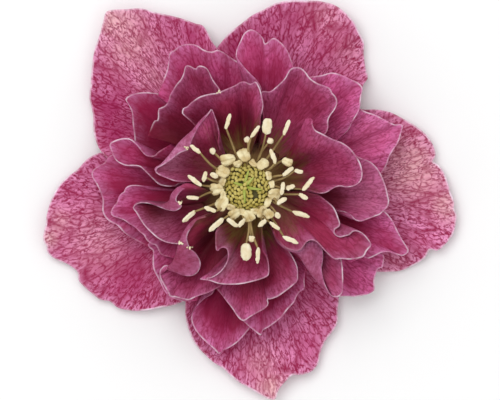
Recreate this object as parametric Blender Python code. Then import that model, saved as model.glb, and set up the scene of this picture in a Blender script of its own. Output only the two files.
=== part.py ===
"""Double hellebore bloom, picked and lying face up on a flat surface.

The bloom is 72 mm across. The origin is on the surface, under the middle of the bloom's outline, with +Z up
through the face and +Y towards the upper sepals. Five broad sepals carry the bloom. On them lie the petals, each
grown from a narrow claw on a short conical receptacle, and in the middle stand the stamens and the styles.
Shapes are worked out in millimetres and turned into metres when a mesh is made.
"""

import math

import bmesh
import bpy
import numpy as np

MM = 0.001

# Driving sizes, in millimetres.
AXIS = (-0.6, 2.1)  # where the receptacle stands, seen from above
PETAL_THICKNESS = 0.6
SEPAL_THICKNESS = 0.7
CLEARANCE = 0.34  # air between pieces that lie on each other
SIDE_CLEARANCE = 2  # cells of the height map kept clear beside a steep blade
RESTING = 0.4  # what comes this near to the surface lies flat on it
CLAW_RADIUS = 4.0  # where a claw ends, just off the receptacle
NARROW_FOOT = 1.4  # how slowly a blade widens from its claw
STUB_RADIUS = 1.5
STUB_BOTTOM = 0.6  # the cut end is held just clear of the surface
RECEPTACLE_TOP = 14.1
COLLAR_BOTTOM = 14.4
COLLAR_TOP = 15.0
COLLAR_RADIUS = 4.2
MIDDLE_HOLE = 1.5
CUSHION_BOTTOM = 15.3
CUSHION_RADIUS = 3.8
CUSHION_RISE = 1.3
BEAD_LENGTH = 1.1
BEAD_WIDTH = 0.62
FILAMENT_RADIUS = 0.24
ANTHER_THICKNESS = 0.75
STYLE_RADIUS = 0.36

# Colours, as linear red, green and blue.
PINK = (0.47, 0.09, 0.18)
TAN_PINK = (0.50, 0.16, 0.19)
RASPBERRY = (0.33, 0.035, 0.12)
MAUVE = (0.38, 0.06, 0.17)
PALE_GREEN = (0.36, 0.42, 0.14)
CREAM = (0.80, 0.74, 0.48)
YELLOW_GREEN = (0.55, 0.60, 0.18)
LIME = (0.42, 0.60, 0.12)

# Every blade has its outline from one side of its claw, round the tip, to the other, as seen from above. "edge" is
# the height of that outline, even steps along it, "claw" the height where the blade leaves the receptacle, "cup" how
# late it rises between the two, "sag" how far its middle hangs, and "wave" the height and number of its ruffles.
# "base" is the direction in which the claw leaves the receptacle, where that isn't straight to the blade's middle,
# and "claw_width" the claw's own width. "roll" is a margin that curls inward: first and last outline point, how far
# in and how far up it reaches. The pieces are in the order in which they lie, the lowest first.
SEPALS = {
    "sepal_left": dict(
        outline=[(-25.4, 8.1), (-28.7, 7), (-32.4, 3.7), (-34.9, 0), (-36.2, -4.4), (-36.2, -7.4),
                 (-35.2, -9.5), (-32, -11.2), (-30.1, -14.2), (-26.6, -17.4), (-21.2, -19.3), (-15.9, -18.8),
                 (-11.3, -17), (-9.6, -14.6)],
        edge=(2.2, 1.7, 2.6, 1.2, 2.0, 2.4), claw=4.6, sag=2.6, wave=(0.35, 3.5), colour=TAN_PINK),
    "sepal_bottom": dict(
        outline=[(-11, -13.7), (-11.3, -17.6), (-11.2, -21.4), (-8.9, -26.2), (-5, -29.3), (-0.1, -33),
                 (3.4, -34.9), (4.8, -33.7), (6.1, -31.8), (9.2, -30.6), (11.9, -28.4), (13.3, -24.2),
                 (15.2, -21.4), (15.4, -17.2), (14.7, -13.7)],
        edge=(2.0, 1.5, 2.2, 2.8, 1.6, 2.2), claw=4.6, sag=3.3, wave=(0.35, 4), colour=PINK),
    "sepal_right": dict(
        outline=[(17.8, 16.5), (20.6, 16.2), (24.8, 15.3), (29.4, 12.6), (32, 9.5), (31.9, 6.8), (33.8, 4.9),
                 (35.2, 1.1), (36.2, -3), (35.2, -6.3), (32.6, -8.8), (30.5, -10.2), (26.3, -12.3),
                 (22.4, -12.5), (18.9, -12.3)],
        edge=(2.0, 2.6, 1.6, 2.4, 1.5, 2.0), claw=4.6, sag=2.6, wave=(0.3, 4.5), colour=TAN_PINK),
    "sepal_upper_right": dict(
        outline=[(-6.8, 23.5), (-5.9, 26.5), (-3.2, 29.5), (-0.8, 31.6), (2.7, 33.5), (7.3, 34.7), (12.2, 34.7),
                 (16.4, 33), (18.9, 29.5), (19.9, 25.3), (20.5, 21.4), (19.4, 19), (17.5, 16.2)],
        edge=(2.4, 1.6, 2.8, 3.2, 2.0, 2.4), claw=5.0, sag=3.6, wave=(0.4, 3.5), colour=PINK),
    "sepal_upper_left": dict(
        outline=[(-22.6, 4.9), (-25.7, 8.4), (-27.5, 12.3), (-27.8, 16.2), (-28.2, 19.7), (-27.7, 23.5),
                 (-27.1, 27), (-26.3, 30.4), (-25.2, 32.8), (-22.2, 33.3), (-18.7, 33.4), (-14.1, 32.3),
                 (-8.7, 30.6), (-6.6, 27.4), (-5.4, 24.9), (-4.7, 22.1)],
        edge=(3.4, 2.0, 2.2, 3.0, 1.8, 2.6), claw=5.4, sag=4.2, wave=(0.35, 4), colour=PINK),
}

OUTER_PETALS = {
    "outer_left": dict(
        outline=[(-22.6, 8.8), (-25, 7.4), (-26.6, 6.1), (-27.7, 4.4), (-26.3, 1.4), (-25.7, -1.8),
                 (-24.3, -3.9), (-20.6, -6.7), (-17.6, -8.3)],
        edge=(5.0, 6.4, 5.2, 6.4, 5.0), claw=6.2, sag=0.8, wave=(0.6, 3)),
    "outer_left_upper": dict(
        outline=[(-20.8, 6.7), (-20.3, 10.5), (-20.8, 14.4), (-21.9, 17.6), (-20.8, 18.4), (-18.2, 18.8),
                 (-15.5, 18.4), (-13.1, 17.2)],
        edge=(6.6, 7.2, 8.2, 7.2, 7.4), claw=6.2, sag=0.8, wave=(0.45, 2)),
    "outer_lower_right": dict(
        outline=[(21.3, -8.1), (23.4, -9.8), (23.1, -11.9), (22, -13), (21.7, -16), (19.2, -16.9), (15.7, -17),
                 (13.6, -15.5)],
        edge=(4.4, 5.8, 4.2, 5.2, 4.2), claw=6.2, sag=0.6, wave=(0.5, 3)),
    "outer_lower_left": dict(
        outline=[(-9.8, -18.8), (-10.2, -21.8), (-8.5, -24.2), (-5.4, -27.2), (-3.4, -25.8), (-1, -23.5),
                 (0.6, -21.1)],
        edge=(5.2, 4.4, 5.8, 4.4, 5.0), claw=6.2, base=-97, sag=0.8, wave=(0.5, 2.5)),
    "outer_top_left": dict(
        outline=[(-16.2, 18.3), (-15.4, 20.7), (-14.3, 24.2), (-13.1, 26.3), (-11, 27.4), (-8.9, 26.9),
                 (-6.9, 26), (-5, 26), (-2.2, 24.2), (0.3, 21.4)],
        edge=(6.0, 7.8, 6.8, 7.6, 6.0), claw=6.4, sag=1.0, wave=(0.6, 3.5)),
    "outer_right": dict(
        outline=[(16.4, 14), (19.1, 16), (22, 14.9), (26.6, 13.1), (26.1, 10.2), (24.3, 7.4), (23.6, 5.3),
                 (22, 3.5)],
        edge=(6.0, 7.0, 5.2, 6.8, 5.8), claw=6.4, sag=0.8, wave=(0.5, 3)),
    "outer_left_lower": dict(
        outline=[(-15.9, -6.3), (-18.4, -8.3), (-17.5, -10.2), (-17.3, -12.3), (-16.2, -14.4), (-14.8, -16.3),
                 (-12.4, -17.6), (-9.4, -17.6)],
        edge=(6.6, 7.6, 6.4, 7.0, 6.4), claw=6.8, sag=0.8, wave=(0.45, 3)),
    "outer_left_lobe": dict(
        outline=[(-18.8, 2.6), (-21.7, 2.1), (-23.3, 0), (-24.7, -2.3), (-22.7, -3.2),
                 (-20.5, -4.7), (-18.4, -6.7), (-16.8, -7.9), (-13.1, -10.2)],
        edge=(7.6, 8.6, 7.2, 8.8, 8.0), claw=7.2, sag=1.0, wave=(0.5, 3)),
    "outer_left_trough": dict(
        outline=[(-16.4, 9.0), (-19.8, 10.3), (-21.7, 10.8), (-24.7, 9.7), (-24, 7.7), (-22.4, 6.3),
                 (-20.1, 5.6), (-17.8, 4.4), (-15.9, 2.9), (-12.7, 2.7)],
        edge=(10.6, 10.2, 9.0, 9.8, 10.6), claw=7.6, cup=1.6, sag=1.2),
    "outer_top": dict(
        outline=[(-2.4, 25.5), (-1.7, 27.9), (0.1, 29.9), (1.7, 29),
                 (2.4, 27.4), (3.8, 28.4), (5.4, 27.7), (6.8, 25.6), (7.5, 23.2), (7.6, 20.4)],
        edge=(8.0, 9.0, 7.8, 9.0, 8.0), claw=7.2, base=70, sag=0.8, wave=(0.5, 2.5)),
    "outer_upper_right": dict(
        outline=[(8.3, 21.4), (10.8, 21.6), (13.6, 22.1), (15.9, 22), (18, 21.1), (19.6, 19.7), (19.2, 16.5),
                 (18, 13.9), (16.4, 11.6)],
        edge=(8.2, 9.0, 7.6, 9.0, 8.0), claw=7.4, sag=0.8, wave=(0.5, 3)),
    "outer_right_pointed": dict(
        outline=[(21.3, -1.1), (23.8, -2.1), (25.2, -4.2), (27.8, -9), (25.7, -9.7), (23.6, -9.1),
                 (21.7, -9.8), (19.6, -10.2), (17.5, -10.9)],
        edge=(7.4, 7.4, 5.8, 7.6, 6.8), claw=7.0, sag=0.8, wave=(0.5, 3)),
    "outer_bottom": dict(
        outline=[(9.7, -11.6), (9.4, -14.6), (8.2, -16.9), (6.6, -19), (5, -20.9), (1.8, -23.7),
                 (-0.1, -22.3), (-1.8, -20.5), (-3.6, -18.3)],
        edge=(7.0, 7.6, 6.0, 7.6, 6.8), claw=7.0, sag=0.8, wave=(0.5, 3)),
}

INNER_PETALS = {
    "middle_upper_left": dict(
        outline=[(-18, 11.2), (-16.4, 14), (-16.1, 16), (-14.5, 17), (-13.4, 19.5), (-12, 21.4), (-11.3, 23.7),
                 (-9.6, 23), (-8.2, 23.5), (-6.9, 21.8), (-5.5, 19.7), (-4.3, 17.2)],
        edge=(11.8, 12.6, 11.4, 11.8, 12.0), claw=8.0, cup=2.0, sag=1.4, wave=(0.4, 3.5)),
    "middle_right": dict(
        outline=[(17.5, 8.1), (19.2, 7.4), (21.2, 6.7), (22.9, 4.4), (24, 1.8), (24.1, -0.5), (23.1, -2.3),
                 (20.6, -3.5), (17.8, -3), (15.4, -2.5)],
        edge=(10.6, 11.4, 10.2, 11.4, 10.6), claw=8.0, cup=1.4, sag=0.6, wave=(0.45, 3)),
    "middle_bottom": dict(
        outline=[(4.5, -6.3), (6.6, -8.8), (7.6, -10.5), (8.3, -14.4), (6.1, -16), (3.4, -17.4), (2.5, -19),
                 (0.6, -20.2), (-1.3, -21.4), (-2.5, -20.2), (-4, -18.1), (-6.1, -16.2), (-7.5, -13.7)],
        edge=(10.8, 11.4, 9.8, 11.0, 10.6), claw=8.2, cup=1.4, sag=0.6, wave=(0.4, 3)),
    "inner_upper_right": dict(
        outline=[(2.2, 18.6), (3.8, 19.1), (5.7, 21.1), (7.3, 23), (9, 23.2), (10.6, 21.2),
                 (13.3, 20), (15, 18.1), (14.8, 16), (13.8, 14), (13.3, 11.8), (11.5, 10.2)],
        edge=(12.4, 13.2, 12.4, 13.4, 12.6), claw=8.6, cup=1.8, sag=1.2, wave=(0.35, 3.5)),
    "inner_upper_left": dict(
        outline=[(-8.9, 12.3), (-12, 15.1), (-11.2, 16.3), (-9, 17.9), (-5.7, 18.8), (-3.6, 19.7), (-1.3, 20.7),
                 (1, 20.7), (1.8, 18.6), (2.2, 16.5), (1.7, 14.4), (1.3, 11.9)],
        edge=(13.6, 14.6, 14.0, 14.6, 14.0), claw=8.8, cup=2.0, sag=1.4, wave=(0.35, 3)),
    "inner_lower_right": dict(
        outline=[(5.9, -8.3), (8, -9.4), (11.3, -14.2), (14.3, -16.9), (16.2, -16.2),
                 (16.2, -13.2), (16.1, -10.2), (14, -7.4), (11.5, -5.6)],
        edge=(12.2, 12.4, 10.8, 11.4, 11.8), claw=8.8, base=-40, cup=1.4, sag=0.8, roll=(0, 2, 1.4, 1.6)),
    "middle_lower_right": dict(
        outline=[(9.7, 1.1), (12.4, 0.5), (14.3, -1.1), (15.9, -3.2), (16.6, -5.1), (19.4, -6.4),
                 (21.3, -7.9), (20.3, -9.1), (18.7, -10.2), (15.7, -10.4), (13.3, -11.2),
                 (11.2, -10.9)],
        edge=(12.6, 13.6, 12.2, 12.8, 12.4), claw=9.0, base=-20, cup=1.8, sag=1.0, wave=(0.4, 3)),
    "inner_right": dict(
        outline=[(9.4, 13.9), (11.2, 13.9), (11.9, 11.9), (14.3, 10.7), (17.1, 9.3), (19.1, 7), (19.6, 4.7),
                 (19.2, 3.2), (16.8, 2.1), (14.3, 1.9), (12.2, 1.2)],
        edge=(14.8, 15.4, 14.4, 15.0, 14.4), claw=9.2, cup=2.0, sag=1.2, wave=(0.35, 3)),
    "inner_left_folded": dict(
        outline=[(-12, 3.2), (-14.7, 3.7), (-16.9, 5.6), (-15.4, 6.7), (-14, 8.4), (-12, 10.9),
                 (-9.6, 13), (-8, 14.9), (-6.4, 15.4),
                 (-5.6, 13.4)],
        edge=(13.4, 13.6, 14.2, 13.6, 13.0), claw=9.2, cup=1.6, sag=0.8, claw_width=3.0,
        roll=(3, 6, 1.5, 1.6)),
    "inner_left": dict(
        outline=[(-8.9, 1.8), (-11.3, 2.1), (-13.1, 0.4), (-14.5, -0.6), (-17.3, -0.9), (-20.5, -1.2),
                 (-19.9, -2.6), (-18.4, -4.9), (-16.1, -6.8), (-13.8, -7.7), (-11.7, -7.6)],
        edge=(14.2, 15.2, 12.8, 12.4, 13.0, 13.6), claw=9.2, base=-152, cup=1.8, sag=0.8),
    "inner_lower_left": dict(
        outline=[(-10.1, -4.4), (-11.2, -6.7), (-12.4, -9), (-15, -11.6), (-15.9, -13.3), (-14.3, -16.7),
                 (-10.8, -17.6), (-7.6, -16.3), (-5, -14.9), (-3.2, -13.3)],
        edge=(14.4, 15.2, 13.6, 12.4, 11.6, 11.6), claw=9.2, cup=2.2, sag=1.0),
    "inner_bottom": dict(
        outline=[(-5.7, -5.3), (-6, -7.8), (-5, -9), (-5.4, -10.8), (-7.2, -12.9), (-9, -14.3), (-5.5, -14.8),
                 (-1.3, -14.8), (2.7, -13.7), (3.4, -11.9), (3.4, -9.6)],
        edge=(14.4, 15.4, 14.0, 13.0, 13.4), claw=9.2, base=-75, cup=1.8, sag=0.8),
}

# Opened stamens: direction round the axis, reach of the anther's middle, turn of the anther against that direction,
# its length and its width.
STAMENS = [
    (106, 12.2, 10, 2.9, 0.95), (83, 9.9, 55, 2.6, 0.95), (91, 8.5, 0, 1.3, 1.3), (72, 11.2, 10, 3.0, 1.7),
    (64, 9.3, 0, 1.3, 1.3), (56, 12.8, 10, 2.9, 0.95), (52, 7.1, 20, 2.8, 0.95), (31, 8.4, 0, 2.0, 1.7),
    (25, 7.8, 105, 2.6, 0.95), (19, 9.5, 0, 1.6, 1.0), (5, 10.8, 45, 3.2, 0.95), (-4, 6.4, 85, 2.4, 0.95),
    (2, 7.6, 20, 1.7, 0.95), (-10, 10.0, 20, 1.9, 1.0), (-20, 6.5, 10, 2.2, 1.0), (-32, 11.0, -15, 3.2, 0.95),
    (-47, 6.1, 0, 1.9, 1.6), (-40, 7.6, 0, 1.2, 1.1), (-64, 6.7, -20, 2.2, 1.0), (-56, 8.2, -20, 2.3, 0.95),
    (-50, 12.2, -25, 3.1, 0.95), (-91, 11.2, 0, 3.1, 2.1), (-81, 12.0, 5, 2.8, 0.95), (-85, 8.9, 0, 1.4, 1.2),
    (-129, 8.3, 15, 3.4, 1.7), (-113, 6.2, 85, 2.5, 1.1), (-101, 7.0, 40, 1.9, 1.0), (-150, 7.2, 10, 2.1, 1.0),
    (-154, 11.5, -10, 3.0, 1.5), (-171, 9.8, -15, 2.2, 1.0), (172, 9.4, -30, 3.1, 1.3), (160, 8.2, 85, 1.8, 1.0),
    (166, 6.4, -20, 1.5, 1.0), (133, 8.9, 0, 1.3, 1.3), (143, 11.3, 35, 2.5, 0.95),
    (95, 6.0, 90, 2.3, 1.7), (124, 6.3, 90, 2.4, 1.8), (143, 5.1, 85, 2.1, 1.5), (182, 5.2, 90, 2.2, 1.6),
    (211, 4.9, 90, 2.2, 1.6), (246, 4.9, 90, 2.4, 1.6), (275, 4.8, 90, 2.4, 1.6), (305, 4.9, 90, 2.3, 1.6),
    (348, 4.9, 90, 2.2, 1.5), (57, 5.4, 90, 2.2, 1.5),
]
NEAR_RING = 6.4  # anthers nearer than this sit flat round the cushion
SPREAD_HEIGHT = 17.8  # the anthers of the spread stamens
RING_HEIGHT = 17.1
STYLES = [(0.7, 60, 17.9), (0.9, 135, 18.3), (0.6, 200, 17.7), (0.9, 265, 18.1), (0.8, 330, 18.5)]

SEPAL_ROWS = (0, 0.1, 0.26, 0.46, 0.66, 0.85, 1)
PETAL_ROWS = (0, 0.2, 0.48, 0.77, 1)
CELL = 0.4
HALF_SPAN = 44.0


def remove_everything():
    """Empties the scene, so that the bloom stands alone in it."""
    for thing in list(bpy.data.objects):
        bpy.data.objects.remove(thing)


def finish(name, colour, roughness):
    """The plain coloured surface of one piece."""
    material = bpy.data.materials.new(name)
    material.use_nodes = True
    shader = material.node_tree.nodes["Principled BSDF"]
    shader.inputs["Base Color"].default_value = (*colour, 1)
    shader.inputs["Roughness"].default_value = roughness
    shader.inputs["Metallic"].default_value = 0
    return material


def closed_object(name, bm, colour, roughness=0.55):
    """Makes one object, in metres, of a closed mesh worked out in millimetres."""
    bmesh.ops.recalc_face_normals(bm, faces=bm.faces)
    bmesh.ops.triangulate(bm, faces=bm.faces)
    bmesh.ops.scale(bm, vec=(MM, MM, MM), verts=bm.verts)
    mesh = bpy.data.meshes.new(name)
    bm.to_mesh(mesh)
    bm.free()
    mesh.shade_smooth()
    mesh.materials.append(finish(name, colour, roughness))
    thing = bpy.data.objects.new(name, mesh)
    bpy.context.scene.collection.objects.link(thing)
    return thing


def evenly(values, count):
    """Reads a short row of values at count even steps."""
    return np.interp(np.linspace(0, 1, count), np.linspace(0, 1, len(values)), values)


def softened(points):
    """The outline without its notches: each point is moved halfway to its neighbours' middle, twice."""
    soft = points.copy()
    for _ in range(2):
        soft[1:-1] = soft[1:-1] / 2 + (soft[:-2] + soft[2:]) / 4
    return soft


class HeightMap:
    """The highest surface laid so far over each small square of the plan."""

    def __init__(self):
        self.count = int(2 * HALF_SPAN / CELL)
        self.top = np.zeros((self.count, self.count))

    def cells(self, points):
        place = ((points[:, :2] + HALF_SPAN) / CELL).astype(int)
        return np.clip(place, 0, self.count - 1)

    def spread_top(self, reach):
        """The map with every height carried reach cells outward."""
        wide = self.top.copy()
        for _ in range(reach):
            grown = wide.copy()
            grown[1:] = np.maximum(grown[1:], wide[:-1])
            grown[:-1] = np.maximum(grown[:-1], wide[1:])
            wide = grown.copy()
            grown[:, 1:] = np.maximum(grown[:, 1:], wide[:, :-1])
            grown[:, :-1] = np.maximum(grown[:, :-1], wide[:, 1:])
            wide = grown
        return wide

    def add(self, points):
        place = self.cells(points)
        np.maximum.at(self.top, (place[:, 0], place[:, 1]), points[:, 2])


def samples_of(points, triangles):
    """Points spread over every triangle, as an array of triangle, sample and coordinate."""
    steps = 10
    weights = [(a, b, steps - a - b) for a in range(steps + 1) for b in range(steps + 1 - a)]
    weights = np.array(weights, float) / steps
    return np.einsum("sk,tkc->tsc", weights, points[triangles])


def sheet_normals(grid):
    """The unit normal at each point of a grid of points, upward where the sheet lies flat, and one for the claw."""
    along = np.gradient(grid, axis=1)
    across = np.gradient(grid, axis=0)
    normal = np.cross(along, across)
    normal /= np.linalg.norm(normal, axis=2, keepdims=True) + 1e-9
    if normal[:, :-1, 2].sum() < 0:
        normal = -normal
    foot = normal[:, 0].sum(axis=0)
    normal[:, 0] = foot / np.linalg.norm(foot)
    return normal


def sheet_triangles(columns, rows):
    """The corners of both triangles of every cell of a sheet."""
    found = []
    for i in range(columns - 1):
        for j in range(rows - 1):
            a = i * rows + j
            b = a + rows
            found.append((a, b, b + 1))
            found.append((a, b + 1, a + 1))
    return np.array(found)


def lay(grid, thickness, heights):
    """Raises a sheet until it lies clear of all that is under it, then adds it to the height map."""
    columns, rows = grid.shape[:2]
    triangles = sheet_triangles(columns, rows)
    under = heights.spread_top(SIDE_CLEARANCE)
    start = grid[..., 2].copy()
    for _ in range(40):
        bottom = grid - sheet_normals(grid) * thickness / 2
        spots = samples_of(bottom.reshape(-1, 3), triangles)
        place = heights.cells(spots.reshape(-1, 3))
        floor = under[place[:, 0], place[:, 1]].reshape(spots.shape[:2])
        needed = np.where(floor > 0, floor + CLEARANCE, 0) - spots[..., 2]
        worst = np.maximum(needed.max(axis=1), 0)
        if worst.max() < 0.004:
            break
        raised = np.zeros(columns * rows)
        for corner in range(3):
            np.maximum.at(raised, triangles[:, corner], worst)
        grid[..., 2] += raised.reshape(columns, rows) * 0.6
        lift = grid[..., 2] - start
        for _ in range(2):
            wide = np.pad(lift, 1, mode="edge")
            mean = (wide[:-2, 1:-1] + wide[2:, 1:-1] + wide[1:-1, :-2] + wide[1:-1, 2:]) / 4
            lift = np.maximum(lift, mean)
        grid[..., 2] = start + lift
    normals = sheet_normals(grid)
    for side in (-0.5, 0.5):
        face = (grid + normals * thickness * side).reshape(-1, 3)
        heights.add(samples_of(face, triangles).reshape(-1, 3))
    return grid


def blade_grid(outline, edge, claw, rows, claw_width, base=None, cup=1.0, sag=0.0, wave=(0, 1), roll=None):
    """The middle surface of a petal or sepal, as columns from the claw to the outline."""
    rim = np.array(outline, float)
    count = len(rim)
    soft = softened(rim)
    centre = np.array(AXIS)
    aim = rim[count // 4: count - count // 4].mean(axis=0) - centre
    turn = math.atan2(aim[1], aim[0]) if base is None else math.radians(base)
    forward = np.array((math.cos(turn), math.sin(turn)))
    first = rim[0] - centre
    side = math.copysign(1, forward[0] * first[1] - forward[1] * first[0])
    spread = turn + np.linspace(side, -side, count) * claw_width / 2 / CLAW_RADIUS
    root = centre + CLAW_RADIUS * np.stack([np.cos(spread), np.sin(spread)], axis=1)
    across = np.linspace(0, 1, count)
    rim_height = evenly(edge, count) + wave[0] * np.sin(2 * math.pi * wave[1] * across)
    ahead = ((soft - root) @ forward)[:, None] * forward
    beside = soft - root - ahead
    grid = np.zeros((count, len(rows), 3))
    for j, s in enumerate(rows):
        grid[:, j, :2] = root + ahead * s + beside * s ** NARROW_FOOT + (rim - soft) * s ** 3
        grid[:, j, 2] = claw + (rim_height - claw) * s ** cup
        grid[:, j, 2] -= sag * 4 * s * (1 - s) * np.sin(math.pi * across) ** 0.5
    if not roll:
        return grid
    first, last, inward, upward = roll
    part = np.clip((np.arange(count) - first + 1) / (last - first + 2), 0, 1)
    amount = np.sin(math.pi * part)
    tangent = np.gradient(rim, axis=0)
    toward = np.stack([-tangent[:, 1], tangent[:, 0]], axis=1)
    toward /= np.linalg.norm(toward, axis=1, keepdims=True)
    toward *= -side
    curl = np.zeros((count, 1, 3))
    curl[:, 0, :2] = rim + toward * (inward * amount)[:, None]
    curl[:, 0, 2] = rim_height + upward
    return np.concatenate([grid, curl], axis=1)


def sheet_solid(grid, thickness):
    """A closed thin solid round a sheet, split into triangles alike on both faces."""
    columns, rows = grid.shape[:2]
    normals = sheet_normals(grid)
    bm = bmesh.new()
    faces = []
    for side in (0.5, -0.5):
        points = grid + normals * thickness * side
        if side < 0:
            points[..., 2] = np.where(points[..., 2] < RESTING, 0, points[..., 2])
        faces.append([[bm.verts.new(points[i, j]) for j in range(rows)] for i in range(columns)])
    top, bottom = faces
    for i in range(columns - 1):
        for j in range(rows - 1):
            for skin in (top, bottom):
                bm.faces.new((skin[i][j], skin[i + 1][j], skin[i + 1][j + 1]))
                bm.faces.new((skin[i][j], skin[i + 1][j + 1], skin[i][j + 1]))
    ring = [(i, 0) for i in range(columns)] + [(columns - 1, j) for j in range(1, rows)]
    ring += [(i, rows - 1) for i in range(columns - 2, -1, -1)] + [(0, j) for j in range(rows - 2, 0, -1)]
    for (a, b), (c, d) in zip(ring, ring[1:] + ring[:1]):
        bm.faces.new((top[a][b], top[c][d], bottom[c][d], bottom[a][b]))
    return bm


def make_blade(name, shape, heights, rows, thickness, claw_width, colour):
    """One petal or sepal, laid on what is under it."""
    shape = dict(shape)
    colour = shape.pop("colour", colour)
    shape.setdefault("claw_width", claw_width)
    grid = blade_grid(rows=rows, **shape)
    grid = lay(grid, thickness, heights)
    return closed_object(name, sheet_solid(grid, thickness), colour)


def lathe(profile, sides):
    """A turned solid round the bloom's axis. The profile starts and ends on the axis, or closes on itself."""
    bm = bmesh.new()
    rings = []
    for radius, height in profile:
        if radius == 0:
            rings.append([bm.verts.new((*AXIS, height))])
            continue
        ring = []
        for k in range(sides):
            turn = 2 * math.pi * k / sides
            place = (AXIS[0] + radius * math.cos(turn), AXIS[1] + radius * math.sin(turn), height)
            ring.append(bm.verts.new(place))
        rings.append(ring)
    pairs = list(zip(rings, rings[1:]))
    if profile[0][0] != 0:
        pairs.append((rings[-1], rings[0]))
    for lower, upper in pairs:
        for k in range(sides):
            n = (k + 1) % sides
            if len(lower) == 1:
                bm.faces.new((lower[0], upper[n], upper[k]))
            elif len(upper) == 1:
                bm.faces.new((lower[k], lower[n], upper[0]))
            else:
                bm.faces.new((lower[k], lower[n], upper[n], upper[k]))
    return bm


def make_receptacle():
    """The short cut stalk and the cone that everything grows from, one piece."""
    profile = [(0, STUB_BOTTOM), (STUB_RADIUS, STUB_BOTTOM), (STUB_RADIUS, 2.6), (2.2, 3.4), (3.4, 4.2),
               (CLAW_RADIUS - 0.35, 5.2), (CLAW_RADIUS - 0.4, RECEPTACLE_TOP - 0.6),
               (CLAW_RADIUS - 0.9, RECEPTACLE_TOP), (0, RECEPTACLE_TOP)]
    return closed_object("pedicel_receptacle", lathe(profile, 20), PALE_GREEN, 0.5)


def oblong(middle, direction, length, width, thickness, sides=6):
    """A closed oblong body, flattened, with its long side along direction."""
    along = np.array(direction, float)
    along /= np.linalg.norm(along)
    across = np.cross((0, 0, 1), along)
    across = across / np.linalg.norm(across) if np.linalg.norm(across) > 0.2 else np.array((1.0, 0, 0))
    over = np.cross(along, across)
    bm = bmesh.new()
    ends = [bm.verts.new(np.array(middle) + along * length / 2 * sign) for sign in (-1, 1)]
    rings = []
    for place in (-0.36, 0.36):
        ring = []
        for k in range(sides):
            turn = 2 * math.pi * (k + 0.5) / sides
            offset = across * math.cos(turn) * width / 2 + over * math.sin(turn) * thickness / 2
            ring.append(bm.verts.new(np.array(middle) + along * length * place + offset))
        rings.append(ring)
    for k in range(sides):
        n = (k + 1) % sides
        bm.faces.new((ends[0], rings[0][n], rings[0][k]))
        bm.faces.new((rings[0][k], rings[0][n], rings[1][n], rings[1][k]))
        bm.faces.new((ends[1], rings[1][k], rings[1][n]))
    return bm


def thread(points, radii, sides):
    """A closed thin stalk through a few points."""
    bm = bmesh.new()
    points = [np.array(p, float) for p in points]
    rings = []
    for n, (point, radius) in enumerate(zip(points, radii)):
        before = points[max(n - 1, 0)]
        after = points[min(n + 1, len(points) - 1)]
        along = (after - before) / np.linalg.norm(after - before)
        across = np.cross(along, (0.3, 0.1, 1.0))
        across /= np.linalg.norm(across)
        over = np.cross(along, across)
        turns = [2 * math.pi * k / sides for k in range(sides)]
        rings.append([bm.verts.new(point + radius * (across * math.cos(t) + over * math.sin(t))) for t in turns])
    for lower, upper in zip(rings, rings[1:]):
        for k in range(sides):
            n = (k + 1) % sides
            bm.faces.new((lower[k], lower[n], upper[n], upper[k]))
    bm.faces.new(rings[0][::-1])
    bm.faces.new(rings[-1])
    return bm


def fuse(core, parts, name):
    """Joins small parts to the core by one Boolean union, applied, and removes them."""
    group = bpy.data.collections.new(name + "_parts")
    bpy.context.scene.collection.children.link(group)
    for part in parts:
        bpy.context.scene.collection.objects.unlink(part)
        group.objects.link(part)
    union = core.modifiers.new("join", "BOOLEAN")
    union.operation = "UNION"
    union.solver = "EXACT"
    union.operand_type = "COLLECTION"
    union.collection = group
    view = bpy.context.evaluated_depsgraph_get()
    joined = bpy.data.meshes.new_from_object(core.evaluated_get(view))
    core.modifiers.clear()
    core.data = joined
    for part in parts:
        bpy.data.objects.remove(part)
    bpy.data.collections.remove(group)


def around(radius, degrees, height):
    """A point by its distance and direction from the bloom's axis."""
    turn = math.radians(degrees)
    return (AXIS[0] + radius * math.cos(turn), AXIS[1] + radius * math.sin(turn), height)


def clear_height(top, point, wanted, margin):
    """The wanted height, or more where the petals under the point stand higher."""
    column, row = ((np.array(point[:2]) + HALF_SPAN) / CELL).astype(int)
    return max(wanted, top[column, row] + margin)


def make_stamens(heights):
    """The collar with its filaments and opened anthers, fused into one piece."""
    outline = [(MIDDLE_HOLE, COLLAR_BOTTOM), (COLLAR_RADIUS, COLLAR_BOTTOM), (COLLAR_RADIUS, COLLAR_TOP),
               (MIDDLE_HOLE, COLLAR_TOP)]
    core = closed_object("stamens", lathe(outline, 24), CREAM, 0.6)
    top = heights.spread_top(2)
    parts = []
    for n, (direction, reach, turn, length, width) in enumerate(STAMENS):
        spread = reach > NEAR_RING
        x, y, height = around(reach, direction, SPREAD_HEIGHT if spread else RING_HEIGHT)
        height += (0.5 if spread else 0.2) * math.sin(n * 2.4)
        bearing = math.radians(direction + turn)
        aim = np.array((math.cos(bearing), math.sin(bearing)))
        for share in (-0.5, 0, 0.5):
            height = clear_height(top, np.array((x, y)) + aim * length * share, height, 0.8)
        anther = oblong((x, y, height), (*aim, 0), length, width, ANTHER_THICKNESS, sides=5)
        parts.append(closed_object("anther", anther, CREAM))
        path = [around(COLLAR_RADIUS - 0.6, direction, COLLAR_TOP - 0.2)]
        steps = (0.06, 0.3, 0.55, 0.8) if spread else (0.2,)
        for share in steps:
            away = COLLAR_RADIUS + (reach - COLLAR_RADIUS) * share
            spot = around(away, direction, 0)
            line = COLLAR_TOP + 0.1 + (height - COLLAR_TOP - 0.1) * share ** 0.6
            path.append((spot[0], spot[1], clear_height(top, spot, line, 0.75)))
        path.append((x, y, height))
        filament = thread(path, [FILAMENT_RADIUS] * len(path), 4)
        parts.append(closed_object("filament", filament, CREAM))
    fuse(core, parts, "stamens")
    return core


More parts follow.
